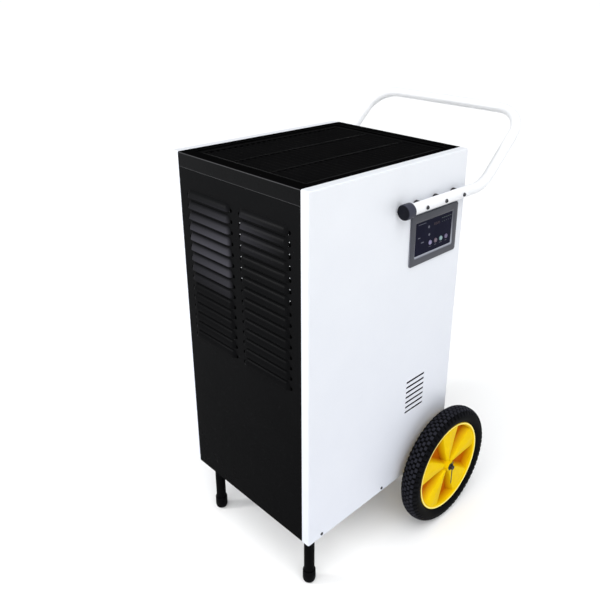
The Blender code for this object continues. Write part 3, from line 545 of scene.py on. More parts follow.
def panel_lines():
    """The panel's lines along X, as (x, how far in from a louvre's end or None, y of the fold)."""
    width = INNER_WIDTH - SEAM
    fold = [(width - FOLD_RADIUS + FOLD_RADIUS * math.sin(a), FOLD_RADIUS - FOLD_RADIUS * math.cos(a))
            for a in (math.pi / 8 * i for i in range(5))]
    lines = [(-width, None, FOLD_DEPTH)]
    lines += [(-x, None, y) for x, y in reversed(fold)]
    for middle in (-COLUMN_X, COLUMN_X):
        left, right = middle - LOUVRE_LENGTH / 2, middle + LOUVRE_LENGTH / 2
        lines += [(left + share * LOUVRE_END, share, 0.0) for share in SPREAD]
        lines += [(right - share * LOUVRE_END, share, 0.0) for share in reversed(SPREAD)]
    lines += [(x, None, y) for x, y in fold]
    lines.append((width, None, FOLD_DEPTH))
    return lines


def panel_row(bm, lines, z, below, base_z):
    """One row of points across the panel: at z on the louvres, and at base_z beside them."""
    row = []
    for x, inside, back in lines:
        out = 0.0 if inside is None else BULGE * bulge_at(inside, below)
        height = base_z if inside in (None, 0.0) else z
        row.append(bm.verts.new((x, FRONT + back - out, height)))
    return row


def bridge_rows(bm, rows):
    for upper, lower in zip(rows, rows[1:]):
        for i in range(len(upper) - 1):
            bm.faces.new((upper[i], lower[i], lower[i + 1], upper[i + 1]))


def make_front_panel():
    """Folded sheet steel with pressed louvres that open downwards."""
    bm = bmesh.new()
    lines = panel_lines()
    top = SKIRT - SEAM
    rows = [panel_row(bm, lines, top, 0.0, top)]
    for i in range(LOUVRES):
        crown = LOUVRE_TOP - i * LOUVRE_PITCH
        lip = crown - LOUVRE_RISE
        edge = lip - LOUVRE_SLIT
        for share in SPREAD[:-1]:
            z = crown - share * LOUVRE_RISE
            rows.append(panel_row(bm, lines, z, share, z))
        rows.append(panel_row(bm, lines, lip, 1.0, (lip + edge) / 2))
        bridge_rows(bm, rows)
        under = []
        for (x, inside, _), above in zip(lines, rows[-1]):
            joined = inside in (None, 0.0)
            under.append(above if joined else bm.verts.new((x, FRONT, edge)))
        rows = [under]
    rows.append(panel_row(bm, lines, BOTTOM + SEAM, 0.0, BOTTOM + SEAM))
    bridge_rows(bm, rows)
    panel = to_object("louvred_front", bm)
    modifier(panel, "SOLIDIFY", thickness=SHEET, offset=-1)
    sharp = math.radians(60)
    modifier(panel, "BEVEL", width=0.00035, segments=2, limit_method="ANGLE", angle_limit=sharp)
    modifier(panel, "WEIGHTED_NORMAL", keep_sharp=True)
    smooth(panel, 50)
    apply_modifiers(panel)
    # Painted highlight on the louvre crowns.
    paint_attribute(panel, "wear_and_painted_light", louvre_highlight_share)
    finish_piece(panel, LOUVRE_PAINT, ROOT, "black_paint", "front_panel")


def louvre_highlight_share(co):
    """Painted highlight: most on the upper louvres of the left column, on the inner ends of a few on the
    right.
    """
    out = min(1.0, max(0.0, (FRONT - co.y) / BULGE))
    along = (abs(co.x) - COLUMN_X) / (LOUVRE_LENGTH / 2) * math.copysign(1, co.x)
    if co.x < 0:
        share = max(0.0, 1.0 - abs(co.z - 0.795) / 0.110) * (0.72 + 0.28 * along)
    else:
        share = 0.42 * max(0.0, 1.0 - abs(co.z - 0.862) / 0.050) * max(0.0, -along)
    return out ** 1.3 * min(1.0, 1.6 * share)


def make_louvre_end_shades():
    """Near-black discs at both ends of each louvre, painted shade for its open end, and pale specks as
    painted glints.
    """
    holes, glints = bmesh.new(), bmesh.new()
    for middle in (-COLUMN_X, COLUMN_X):
        for i in range(LOUVRES):
            lip = LOUVRE_TOP - i * LOUVRE_PITCH - LOUVRE_RISE
            for end in (-1, 1):
                x = middle + end * (LOUVRE_LENGTH / 2 + 0.0018)
                lathe(holes, END_SHADE_DISC, (x, FRONT, lip + 0.0030), (0, -1, 0), 14)
                if middle > 0 and i in GLINT_ROWS:
                    lathe(glints, GLINT, (x - end * 0.0006, FRONT - 0.0001, lip + 0.0085), (0, -1, 0), 10)
    finish_piece(solid("louvre_end_shades", holes), PAINTED_HOLE_SHADE, ROOT, "black_paint")
    finish_piece(solid("relief_glints", glints), ZINC, ROOT, "black_paint")


# ---- Cabinet

VENT_SLOTS = 7
VENT_LENGTH, VENT_HEIGHT = 0.069, 0.0056
VENT_TOP, VENT_PITCH, VENT_Y = 0.4405, 0.0141, 0.1085
GRILLE_FRAME = 0.026
RIB_X, RIB_HALF = 0.058, 0.002
SLATS = 25
SLAT_TILT = math.radians(38)
SIDE_SCREW_Y = (-0.209, -0.002, 0.205)
BACK_SCREW_X, BACK_SCREW_Z = 0.183, (0.20, 0.43, 0.66, 0.89)


def folded_pan(name, low, high, open_sides, radius):
    """A sheet pan with rounded folds: a box without the sides that open_sides names."""
    bm = bmesh.new()
    rounded_box(bm, low, high)
    bm.normal_update()
    for side in open_sides:
        toward = Vector([float(a == side[1]) for a in "XYZ"]) * (-1 if side[0] == "-" else 1)
        bmesh.ops.delete(bm, geom=[f for f in bm.faces if f.normal.dot(toward) > 0.9], context="FACES")
    pan = to_object(name, bm)
    modifier(pan, "BEVEL", width=radius, segments=5, limit_method="ANGLE")
    modifier(pan, "SOLIDIFY", thickness=SHEET, offset=-1)
    return pan


def cutter(name, low, high, radius=0.0, along=0):
    """A box to cut with. Its edges along one axis can be rounded."""
    bm = bmesh.new()
    rounded_box(bm, low, high)
    if radius:
        edges = [e for e in bm.edges if abs((e.verts[0].co - e.verts[1].co)[along]) > 1e-6]
        bmesh.ops.bevel(bm, geom=edges, offset=radius, segments=6, profile=0.5, affect="EDGES")
    return to_object(name, bm)


def round_cutter(name, centre, axis, radius, length):
    return turned(name, [(0, length), (radius, length), (radius, -length), (0, -length)], centre, axis, 24)


def cut_all(obj, cutters):
    """Cuts every cutter from a piece and takes the cutters away."""
    for other in cutters:
        modifier(obj, "BOOLEAN", operation="DIFFERENCE", solver="EXACT", object=other)
    apply_modifiers(obj)
    for other in cutters:
        bpy.data.objects.remove(other)


def finish_sheet(obj, edge=0.0003):
    """Softens the cut edges of a sheet and shades it smooth."""
    modifier(obj, "BEVEL", width=edge, segments=1, limit_method="ANGLE", angle_limit=math.radians(55))
    modifier(obj, "WEIGHTED_NORMAL", keep_sharp=True)
    smooth(obj, 40)
    apply_modifiers(obj)


def make_side_panels():
    for side, word in SIDES:
        name = f"side_panel_{word}"
        low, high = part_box(name)
        pan = folded_pan(f"{word}_side", low, high, ("-X" if side > 0 else "+X", "-Z"), 0.0030)
        outer = side * HALF_WIDTH
        cutters = []
        for i in (1, 2, 3):
            bolt = node_middle(f"handle_bolt_{word}_{i}")
            cutters.append(round_cutter("bolt hole", (outer, bolt.y, bolt.z), (1, 0, 0), 0.0034, 0.01))
        if side > 0:
            cutters += [control_cutter(), *vent_cutters()]
        cut_all(pan, cutters)
        finish_sheet(pan)
        finish_piece(pan, WHITE, ROOT, "white_paint", name)


def control_cutter():
    low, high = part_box("display_window")
    edge = Vector((0.02, 0.0024, 0.0024))
    return cutter("control opening", low - edge, high + edge)


def vent_cutters():
    half = Vector((0.01, VENT_LENGTH / 2, VENT_HEIGHT / 2))
    made = []
    for i in range(VENT_SLOTS):
        middle = Vector((HALF_WIDTH, MIDDLE_Y + VENT_Y, VENT_TOP - i * VENT_PITCH))
        made.append(cutter("vent slot", middle - half, middle + half, 0.0015))
    return made


def make_back_panel():
    low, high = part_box("back_panel")
    pan = folded_pan("back_cover", low, high, ("-Y", "-Z"), FOLD_RADIUS)
    cutters = []
    for name in ("drain_spout", "cable_gland"):
        at = node_middle(name)
        cutters.append(round_cutter(name + " hole", (at.x, BACK, at.z), (0, 1, 0), 0.0089, 0.01))
    cut_all(pan, cutters)
    finish_sheet(pan)
    finish_piece(pan, BLACK, ROOT, "black_paint", "back_panel")


def make_top_cover():
    """The cover, open over the outlet grille."""
    low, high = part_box("top_cover")
    pan = folded_pan("top_cap", low, high, ("-Z",), FOLD_RADIUS)
    grille_low, grille_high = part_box("outlet_grille")
    inset = Vector((0.012, 0.012, 0))
    above = Vector((0, 0, 0.03))
    cut_all(pan, [cutter("outlet opening", grille_low + inset, grille_high - inset + above, 0.006, 2)])
    finish_sheet(pan, 0.0004)
    finish_piece(pan, COVER_PAINT, ROOT, "black_paint", "top_cover")


def make_outlet_grille():
    """Slats across the outlet, tilted like a fixed louvre, in a flat frame with two stiffening ribs."""
    low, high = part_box("outlet_grille")
    inner_low, inner_high = low.copy(), high.copy()
    for axis in (0, 1):
        inner_low[axis] += GRILLE_FRAME
        inner_high[axis] -= GRILLE_FRAME
    bm = bmesh.new()
    for x0, x1 in ((low.x, inner_low.x), (inner_high.x, high.x)):
        rounded_box(bm, (x0, low.y, low.z), (x1, high.y, high.z), 0.0004)
    for y0, y1 in ((low.y, inner_low.y), (inner_high.y, high.y)):
        rounded_box(bm, (inner_low.x, y0, low.z), (inner_high.x, y1, high.z), 0.0004)
    for x in (-RIB_X, RIB_X):
        rib_low, rib_high = (x - RIB_HALF, inner_low.y, low.z), (x + RIB_HALF, inner_high.y, high.z - 0.0006)
        rounded_box(bm, rib_low, rib_high, 0.0003)
    half = Vector((inner_high.x + 0.001, 0.0052, 0.00045))
    tilt = Matrix.Rotation(SLAT_TILT, 4, "X")
    for i in range(SLATS):
        y = inner_low.y + (i + 0.5) * (inner_high.y - inner_low.y) / SLATS
        placed_box(bm, half, Matrix.Translation((0, y, high.z - 0.0040)) @ tilt, 0.0003)
    finish_piece(solid("outlet_slats", bm), DARK, ROOT, "black_paint", "outlet_grille")


def screw_head(bm, centre, axis, radius=0.0038, height=0.0022):
    """A pan head with a cross recess, standing on a surface."""
    dome = [(0, height * 0.72), (radius * 0.28, height * 0.74), (radius * 0.34, height)]
    dome += [(radius * 0.72, height * 0.86), (radius * 0.95, height * 0.45), (radius, 0.0), (0, 0.0)]
    lathe(bm, dome, centre, axis, 20)
    half = Vector((radius * 0.52, radius * 0.11, height * 0.11))
    lift = Matrix.Translation((0, 0, height * 0.89))
    for turn in (0.0, math.pi / 2):
        place = Matrix.Translation(centre) @ turn_to(axis) @ Matrix.Rotation(turn, 4, "Z")
        placed_box(bm, half, place @ lift)


def make_panel_screws():
    """Screws along the bottom of the side panels and round the back cover."""
    bm = bmesh.new()
    for side, _ in SIDES:
        for y in SIDE_SCREW_Y:
            screw_head(bm, (side * HALF_WIDTH, MIDDLE_Y + y, BOTTOM + 0.0085), (side, 0, 0))
    for x in (-BACK_SCREW_X, BACK_SCREW_X):
        for z in BACK_SCREW_Z:
            screw_head(bm, (x, BACK, z), (0, 1, 0))
    finish_piece(solid("panel_screws", bm), DARK_STEEL, ROOT, "dark_steel")


# ---- Legs

LEG_RADIUS = 0.0125
LEG_WALL = 0.0015
LEG_PLATE = 0.003
PLATE_SCREW = 0.0165


def make_legs():
    """A tube under a welded and screwed plate, on each side."""
    for _, word in SIDES:
        low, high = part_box(f"front_leg_{word}")
        foot_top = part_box(f"foot_cap_{word}")[1].z
        middle = node_middle(f"foot_cap_{word}")
        plate = high.z - LEG_PLATE
        bore, weld_inside, weld_foot = LEG_RADIUS - LEG_WALL, LEG_RADIUS - 0.0005, plate - 0.0028
        tube = [(LEG_RADIUS, plate), (LEG_RADIUS, low.z), (bore, low.z), (bore, plate)]
        weld = [(LEG_RADIUS + 0.0028, plate), (LEG_RADIUS + 0.0016, plate - 0.0009)]
        weld += [(LEG_RADIUS + 0.0003, weld_foot), (weld_inside, weld_foot), (weld_inside, plate)]
        bm = bmesh.new()
        lathe(bm, tube, (middle.x, middle.y, 0), (0, 0, 1), 48)
        lathe(bm, weld, (middle.x, middle.y, 0), (0, 0, 1), 40)
        rounded_box(bm, (low.x, low.y, plate), (high.x, high.y, high.z), 0.0008)
        for a in (-PLATE_SCREW, PLATE_SCREW):
            for b in (-PLATE_SCREW, PLATE_SCREW):
                screw_head(bm, (middle.x + a, middle.y + b, plate), (0, 0, -1), 0.0034, 0.0020)
        finish_piece(solid(f"leg_{word}", bm), DARK, ROOT, "black_paint", f"front_leg_{word}")
        make_foot(word, middle, foot_top)


def make_foot(word, middle, top):
    """A moulded rubber tip with two grip rings and a flared sole."""
    socket = LEG_RADIUS + SEAM
    profile = [(0, 0.006), (socket, 0.006), (socket, top), (0.0143, top), (0.0153, top - 0.0012)]
    for z in (top - 0.006, top - 0.011):
        profile += [(0.0154, z + 0.0016), (0.0147, z + 0.0010), (0.0147, z - 0.0010), (0.0154, z - 0.0016)]
    profile += [(0.0155, 0.010), (0.0143, 0.0045), (0.0132, 0.0025), (0.0118, 0.0012), (0.0095, 0), (0, 0)]
    foot = turned(f"foot_{word}", profile, (middle.x, middle.y, 0), (0, 0, 1))
    paint_attribute(foot, "wear_and_painted_light", lambda co: 1.0 if co.z < 0.004 else 0.15)
    finish_piece(foot, RUBBER, ROOT, "black_rubber", f"foot_cap_{word}")


# ---- Wheels

TREAD_ROWS = (-0.0210, -0.0128, -0.0043, 0.0043, 0.0128, 0.0210)
TREAD_COUNT = 66
WHEEL_RADIUS = half_size("tyre_right").y
HALF_TYRE = 0.0250
BEAD = 0.0162
RIM_RADIUS = 0.121
SEAT_RADIUS = 0.1177
RIM_LIP, RIM_SEAT = 0.0193, 0.0160
HUB_OUT = 0.022
HUB_BORE = 0.0063
WEB_FACE, WEB_BACK = -0.006, -0.012
SPOKES = 5
SPOKE_START = math.radians(19)
SPOKE_HALF = math.radians(16.5)
POCKET_SPREAD = math.radians(22)
SPOKE_INNER, SPOKE_OUTER = 0.0118, RIM_RADIUS - 0.0062
SPOKE_STEPS = 10


def tyre_crown(across):
    """The tyre's radius at a distance from its middle plane: a rounded crown down to the shoulder."""
    share = min(1.0, abs(across) / HALF_TYRE)
    drop = 0.0170 * (1.0 - math.sqrt(1.0 - 0.98 * share ** 2))
    return WHEEL_RADIUS - 0.0030 - drop


def tyre_profile():
    """A rounded crown, sidewalls that draw in to the beads, and the seat inside."""
    widths = [HALF_TYRE * math.sin(math.radians(a)) for a in range(-80, 81, 8)]
    crown = [(tyre_crown(w), w) for w in widths]
    right = [(0.1360, 0.0247), (0.1300, 0.0232), (0.1265, 0.0216), (0.1238, 0.0196), (0.1222, 0.0178)]
    right.append((RIM_RADIUS + 0.0006, BEAD))
    inner = [(SEAT_RADIUS + 0.0006, BEAD), (SEAT_RADIUS + 0.0006, -BEAD)]
    left = [(r, -w) for r, w in reversed(right)]
    return crown + right + inner + left


def add_knob(bm, angle, across, length, width, at):
    """One tread block: a low frustum that follows the crown."""
    rings = []
    for lift, shrink in ((-0.0015, 1.0), (0.0018, 0.94), (0.0030, 0.78)):
        ring = []
        for a, b in ((-1, -1), (1, -1), (1, 1), (-1, 1)):
            w = across + b * width / 2 * shrink
            r = min(WHEEL_RADIUS, tyre_crown(w) + lift)
            turn = angle + a * length / 2 * shrink / WHEEL_RADIUS
            ring.append(bm.verts.new(at @ Vector((r * math.cos(turn), r * math.sin(turn), w))))
        rings.append(ring)
    loft(bm, rings)


def make_tyre(side, word):
    """The tyre with rows of tread blocks, every other row half a step on."""
    centre = node_middle(f"tyre_{word}")
    axis = (side, 0, 0)
    at = Matrix.Translation(centre) @ turn_to(axis)
    bm = bmesh.new()
    lathe(bm, tyre_profile(), centre, axis, 96)
    for row, across in enumerate(TREAD_ROWS):
        for i in range(TREAD_COUNT):
            angle = math.tau * (i + 0.5 * (row % 2)) / TREAD_COUNT
            length = random.uniform(0.0092, 0.0112)
            width = random.uniform(0.0066, 0.0076)
            add_knob(bm, angle, across, length, width, at)
    tyre = solid(f"tread_tyre_{word}", bm, 40)
    paint_attribute(tyre, "wear_and_painted_light", lambda co: tread_wear(co, centre))
    finish_piece(tyre, TYRE, f"wheel_{word}", "tyre_rubber", f"tyre_{word}")


def tread_wear(point, centre):
    """1 on the crowns of the tread blocks, less on the outer rows, and a faint band on the sidewall."""
    radius = math.hypot(point.y - centre.y, point.z - centre.z)
    across = abs(point.x - centre.x)
    if radius > tyre_crown(across) + 0.0012:
        return 0.45 if across > 0.0165 else 1.0
    return 0.22 if radius < RIM_RADIUS + 0.006 else 0.10


def rim_profile():
    """The rim and its hub: the hub's face, the web, the inside of the lip, the tyre's seat and the back."""
    inside = RIM_RADIUS - 0.0100
    face = [(HUB_BORE, HUB_OUT), (0.0122, HUB_OUT), (0.0134, HUB_OUT - 0.0010), (0.0142, 0.012)]
    face += [(0.0152, WEB_FACE + 0.002), (0.0165, WEB_FACE), (inside - 0.004, WEB_FACE)]
    face += [(inside - 0.0012, WEB_FACE + 0.0012), (inside, WEB_FACE + 0.004)]
    face += [(inside + 0.0022, RIM_LIP - 0.0035), (inside + 0.0050, RIM_LIP - 0.0012)]
    edge = [(RIM_RADIUS - 0.0030, RIM_LIP - 0.0002), (RIM_RADIUS - 0.0012, RIM_LIP)]
    edge += [(RIM_RADIUS - 0.0002, RIM_LIP - 0.0008), (RIM_RADIUS, RIM_SEAT), (SEAT_RADIUS, RIM_SEAT)]
    back = [(SEAT_RADIUS, -RIM_SEAT), (RIM_RADIUS, -RIM_SEAT), (RIM_RADIUS - 0.0008, -RIM_LIP)]
    back += [(inside + 0.003, -RIM_LIP), (inside, WEB_BACK - 0.002), (0.016, WEB_BACK)]
    back += [(0.0138, -HUB_OUT), (HUB_BORE, -HUB_OUT)]
    return face + edge + back


def spoke_outline(share):
    """A spoke's radius and section at a share of its length: (angle, height), creased, with sloping sides."""
    radius = SPOKE_INNER + share * (SPOKE_OUTER - SPOKE_INNER)
    half = (0.0048 + share * (RIM_RADIUS * math.sin(SPOKE_HALF) - 0.0048)) / radius
    foot = (0.0095 + share * (RIM_RADIUS * math.sin(POCKET_SPREAD) - 0.0095)) / radius
    top = 0.0140 + 0.0014 * share ** 2
    left = [(-foot, WEB_FACE - 0.001), (-half * 1.03, top - 0.0034), (-half, top - 0.0014)]
    left += [(-half * 0.93, top - 0.0007), (-half * 0.10, top + 0.0012)]
    return radius, left + [(0.0, top + 0.0015)] + [(-a, h) for a, h in reversed(left)]


def add_spoke(bm, middle, at):
    """A broad wedge of a spoke, from the hub to the rim."""
    rings = []
    for i in range(SPOKE_STEPS + 1):
        radius, outline = spoke_outline(i / SPOKE_STEPS)
        turns = [(middle + a, h) for a, h in outline]
        points = [Vector((radius * math.cos(a), radius * math.sin(a), h)) for a, h in turns]
        rings.append([bm.verts.new(at @ point) for point in points])
    loft(bm, rings)


def make_rim(side, word):
    centre = node_middle(f"tyre_{word}")
    at = Matrix.Translation(centre) @ wheel_frame(side)
    bm = bmesh.new()
    lathe(bm, rim_profile(), centre, (side, 0, 0), 96)
    for i in range(SPOKES):
        add_spoke(bm, SPOKE_START + i * math.tau / SPOKES, at)
    rim = solid(f"spoked_rim_{word}", bm, 30)
    inverse = at.inverted()
    # Painted shade in the pockets.
    paint_attribute(rim, "depth", lambda co: pocket_painted_shade(inverse @ co))
    # Painted highlight on the lip.
    paint_attribute(rim, "lip", lambda co: lip_painted_highlight(inverse @ co))
    finish_piece(rim, YELLOW, f"wheel_{word}", "yellow_plastic", f"wheel_rim_{word}")


def wheel_frame(side):
    """Turns +Z outwards along the axle, and +X to the back of the machine."""
    out = Vector((side, 0, 0))
    back = Vector((0, 1, 0))
    return Matrix((back, out.cross(back), out)).transposed().to_4x4()


def pocket_painted_shade(local):
    """Painted shade: 1 at the floor of a pocket, 0 at the face of a spoke, the hub or the lip, and little on
    the back.
    """
    if local.z < WEB_BACK + 0.001:
        return 0.2
    return min(1.0, max(0.0, (0.011 - local.z) / 0.017))


def lip_painted_highlight(local):
    """A pale painted highlight on the rim's lip."""
    radius = math.hypot(local.x, local.y)
    return 0.75 if local.z > RIM_LIP - 0.0005 and radius > RIM_RADIUS - 0.0035 else 0.0


def make_wheels():
    for side, word in SIDES:
        make_tyre(side, word)
        make_rim(side, word)


def make_axle_ends():
    """The hollow axle, its washers and its split pins."""
    middle = node_middle("axle")
    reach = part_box("axle")[1].x
    radius = half_size("axle").y
    bore = 0.0040
    shoulder = reach - 0.0006
    outside = [(radius - 0.0006, reach), (radius, shoulder), (radius, -shoulder), (radius - 0.0006, -reach)]
    inside = [(bore + 0.0004, -reach), (bore, -shoulder), (bore, shoulder), (bore + 0.0004, reach)]
    axle = turned("hollow_axle", outside + inside, middle, (1, 0, 0), 40)
    finish_piece(axle, DARK_STEEL, ROOT, "dark_steel", "axle")
    for side, word in SIDES:
        make_washer(side, word, middle)
        make_split_pin(word)


def make_washer(side, word, middle):
    node = f"wheel_washer_{word}"
    outer, bore, soft = half_size(node).z, 0.0064, 0.0004
    x0, x1 = span(side, node)
    profile = [(outer - soft, x1), (outer, x1 - soft), (outer, x0 + soft), (outer - soft, x0)]
    profile += [(bore, x0), (bore, x1)]
    washer = turned(f"washer_{word}", profile, (0, middle.y, middle.z), (side, 0, 0))
    finish_piece(washer, DARK_STEEL, ROOT, "dark_steel", node)


def make_split_pin(word):
    """Bent wire: an eye above the axle, and two legs through it, one a little longer than the other."""
    low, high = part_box(f"split_pin_{word}")
    x, y = (low.x + high.x) / 2, (low.y + high.y) / 2
    wire = 0.00078
    eye_radius = 0.0030
    eye = high.z - eye_radius - wire
    leg = eye - 0.004 - low.z
    path = [(x, y - wire, low.z + wire)]
    path += [(x, y - wire, low.z + leg * i / 6) for i in range(1, 7)]
    turns = [math.radians(d) for d in range(-25, -336, -20)]
    path += [(x, y + eye_radius * math.sin(a), eye - eye_radius * math.cos(a)) for a in turns]
    path += [(x, y + wire, low.z + leg * i / 6) for i in range(6, 0, -1)]
    path.append((x, y + wire, low.z + 0.004))
    finish_piece(swept(f"pin_{word}", path, wire, 10), DARK_STEEL, ROOT, "dark_steel", f"split_pin_{word}")


# ---- Handle

HANDLE_RISE = math.radians(42.5)
KNEE_BEND, CORNER_BEND = 0.093, 0.073
TUBE_LOW, TUBE_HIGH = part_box("handle_tube")
HANDLE_X = node_middle("handle_cap_right").x
HANDLE_Z = node_middle("handle_cap_right").z
TUBE_RADIUS = HANDLE_Z - TUBE_LOW.z
BOLT_BORE = 0.0034


def filleted(corners, radii, step=math.radians(4)):
    """A path through corners, with an arc of the given radius at each one between the ends."""
    corners = [Vector(c) for c in corners]
    path = [corners[0]]
    for before, corner, after, radius in zip(corners, corners[1:], corners[2:], radii):
        back = (before - corner).normalized()
        ahead = (after - corner).normalized()
        turn = math.pi - back.angle(ahead)
        inset = radius * math.tan(turn / 2)
        centre = corner + (back + ahead).normalized() * (radius / math.cos(turn / 2))
        spoke = corner + back * inset - centre
        around = back.cross(ahead).normalized()
        count = max(2, round(turn / step))
        for i in range(count + 1):
            path.append(centre + Matrix.Rotation(-turn * i / count, 3, around) @ spoke)
    path.append(corners[-1])
    return path


def make_handle():
    """One bent tube, from the front end of one arm over the crossbar to the other, with its fixings."""
    bar_y, bar_z = TUBE_HIGH.y - TUBE_RADIUS, TUBE_HIGH.z - TUBE_RADIUS
    knee_y = bar_y - (bar_z - HANDLE_Z) / math.tan(HANDLE_RISE)
    arm = ((TUBE_LOW.y, HANDLE_Z), (knee_y, HANDLE_Z), (bar_y, bar_z))
    corners = [(HANDLE_X, y, z) for y, z in arm] + [(-HANDLE_X, y, z) for y, z in reversed(arm)]
    path = filleted(corners, (KNEE_BEND, CORNER_BEND, CORNER_BEND, KNEE_BEND))
    handle = swept("push_handle", path, TUBE_RADIUS, 40)
    finish_piece(handle, HANDLE_WHITE, ROOT, "white_paint", "handle_tube")
    for side, word in SIDES:
        make_cap(side, word)
        for i in (1, 2, 3):
            make_saddle(side, word, i)
            make_bolt(side, word, i)


def make_cap(side, word):
    """A moulded cap pushed over the end of an arm, with a soft dome and a collar."""
    node = f"handle_cap_{word}"
    low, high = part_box(node)
    radius, length = half_size(node).z, high.y - low.y
    socket = TUBE_RADIUS + 0.0003
    dome = [(0, 0.0003), (radius * 0.70, 0.0002), (radius * 0.80, 0.0)]
    dome += [(radius * 0.90, 0.0006), (radius * 0.97, 0.0018), (radius, 0.0036)]
    groove = radius - 0.0004
    collar = [(radius, length - 0.0052), (groove, length - 0.0048), (groove, length - 0.0042)]
    collar += [(radius, length - 0.0038), (radius, length - 0.0012), (radius - 0.0011, length)]
    profile = [*dome, *collar, (socket, length), (socket, 0.0036), (0, 0.0036)]
    axis_x = side * HANDLE_X
    cap = turned(f"arm_cap_{word}", profile, (axis_x, low.y, HANDLE_Z), (0, 1, 0), 56, 40)
    # Painted highlight on the side wall and its rounded edge.
    rim = radius * 0.95
    paint_attribute(cap, "wear_and_painted_light", lambda co: float(math.hypot(co.x - axis_x, co.z - HANDLE_Z) > rim))
    finish_piece(cap, CAP, ROOT, "grey_plastic", node)


def make_saddle(side, word, i):
    """The rubber saddle between tube and panel."""
    node = f"handle_spacer_{word}_{i}"
    x0, x1 = span(side, node)
    at = node_middle(node)
    radius = half_size(node).y
    profile = [(BOLT_BORE, x1), (radius, x1), (radius, x0 + 0.0030), (radius, x0 + 0.0006)]
    profile += [(radius - 0.0006, x0), (BOLT_BORE, x0)]
    saddle = turned(f"saddle_{word}_{i}", profile, (0, at.y, at.z), (side, 0, 0), 40)
    seat_centre = (side * HANDLE_X, at.y, at.z)
    cut_all(saddle, [round_cutter("tube seat", seat_centre, (0, 1, 0), TUBE_RADIUS + SEAM, 0.03)])
    smooth(saddle)
    paint_attribute(saddle, "wear_and_painted_light", lambda co: 0.2)
    finish_piece(saddle, SADDLE, ROOT, "black_rubber", node)


def make_bolt(side, word, i):
    """The domed bolt through tube and saddle."""
    node = f"handle_bolt_{word}_{i}"
    x0, x1 = span(side, node)
    at = node_middle(node)
    face = HANDLE_X + TUBE_RADIUS + SEAM
    tall = x1 - face
    head = [(0, x1 - 0.0022), (0.0015, x1 - 0.0022), (0.0017, x1), (0.0030, x1 - tall * 0.14)]
    head += [(0.0038, x1 - tall * 0.42), (0.0045, x1 - tall * 0.78), (0.0047, face), (0.0030, face)]
    shank = [(0.0030, x0 + 0.0006), (0.0025, x0), (0, x0)]
    bolt = turned(f"bolt_{word}_{i}", head + shank, (0, at.y, at.z), (side, 0, 0), 32)
    finish_piece(bolt, DARK_STEEL, ROOT, "dark_steel", node)


# ---- Control panel

BEZEL_LOW, BEZEL_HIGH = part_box("control_bezel")
WINDOW_LOW, WINDOW_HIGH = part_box("display_window")
WINDOW_MIDDLE = node_middle("display_window")
WINDOW_FACE = WINDOW_HIGH.x
KEYS = ("button_power", "button_mode", "button_down", "button_up")
KEY_RADIUS = 0.0055

# Each key's material name, its colour, the colour of its light and how bright that is.
KEY_COLORS = (
    ("lilac key", (0.21, 0.19, 0.33), (0.55, 0.50, 0.85), 0.04),
    ("rose key", (0.12, 0.085, 0.120), (0.50, 0.35, 0.45), 0.02),
    ("pale blue key", (0.21, 0.33, 0.34), (0.60, 0.85, 0.85), 0.05),
    ("violet key", (0.125, 0.10, 0.185), (0.42, 0.35, 0.60), 0.02),
)

# Plain marks on the window, from its middle: (y, z) of the round ones, (y, z, width, height) of the bars.
STATUS_DOTS = ((-0.0202, 0.0216), (-0.0172, 0.0026))
STATUS_BARS = (
    (-0.0542, 0.0026, 0.008, 0.0020),
    (-0.0412, -0.0104, 0.010, 0.0024),
    (-0.0452, 0.0336, 0.028, 0.0010),
)


def grown(rect, by):
    y0, z0, y1, z1 = rect
    return (y0 - by, z0 - by, y1 + by, z1 + by)


def rounded_ring(bm, rect, radius, x, steps=6):
    """Points round a rectangle (y0, z0, y1, z1) with rounded corners, in the plane at x."""
    y0, z0, y1, z1 = grown(rect, -radius)
    ring = []
    for quarter, (y, z) in enumerate(((y1, z1), (y0, z1), (y0, z0), (y1, z0))):
        for i in range(steps + 1):
            turn = math.radians(90 * (quarter + i / steps))
            ring.append(bm.verts.new((x, y + radius * math.cos(turn), z + radius * math.sin(turn))))
    return ring


def make_bezel():
    """A moulded frame: rounded outside, a soft roll into the recess, and a ledge that carries the window."""
    outer = (BEZEL_LOW.y, BEZEL_LOW.z, BEZEL_HIGH.y, BEZEL_HIGH.z)
    inner = grown((WINDOW_LOW.y, WINDOW_LOW.z, WINDOW_HIGH.y, WINDOW_HIGH.z), SEAM)
    face, back, seat = BEZEL_HIGH.x, BEZEL_LOW.x, HALF_WIDTH + SEAM
    ledge = WINDOW_LOW.x - SEAM
    outside = ((0.0, 0.0062, seat), (0.0, 0.0062, face - 0.0022), (-0.0003, 0.0060, face - 0.0012),
               (-0.0011, 0.0054, face - 0.0003), (-0.0024, 0.0044, face))
    inside = ((0.0052, 0.0062, face), (0.0046, 0.0058, face - 0.0003), (0.0008, 0.0028, face - 0.0025),
              (0.0, 0.0022, face - 0.0031), (0.0, 0.0020, ledge), (-0.0040, 0.0015, ledge),
              (-0.0040, 0.0015, back), (0.0018, 0.0036, back), (0.0018, 0.0036, seat))
    bm = bmesh.new()
    rings = [rounded_ring(bm, grown(outer, by), radius, x) for by, radius, x in outside]
    rings += [rounded_ring(bm, grown(inner, by), radius, x) for by, radius, x in inside]
    join_rings(bm, rings, closed=True)
    bezel = solid("bezel_frame", bm, 18)
    paint_attribute(bezel, "wear_and_painted_light", bezel_painted_highlight)
    finish_piece(bezel, GREY, ROOT, "grey_plastic", "control_bezel")


def bezel_painted_highlight(co):
    """Painted highlight on the inner edge: most below the window, and a little at its back end."""
    inside = BEZEL_HIGH.x - 0.0033 < co.x < BEZEL_HIGH.x - 0.0020
    if not inside:
        return 0.0
    if co.z < WINDOW_LOW.z + 0.0024:
        return 1.0
    return 0.12 if co.y > WINDOW_HIGH.y - 0.003 else 0.0


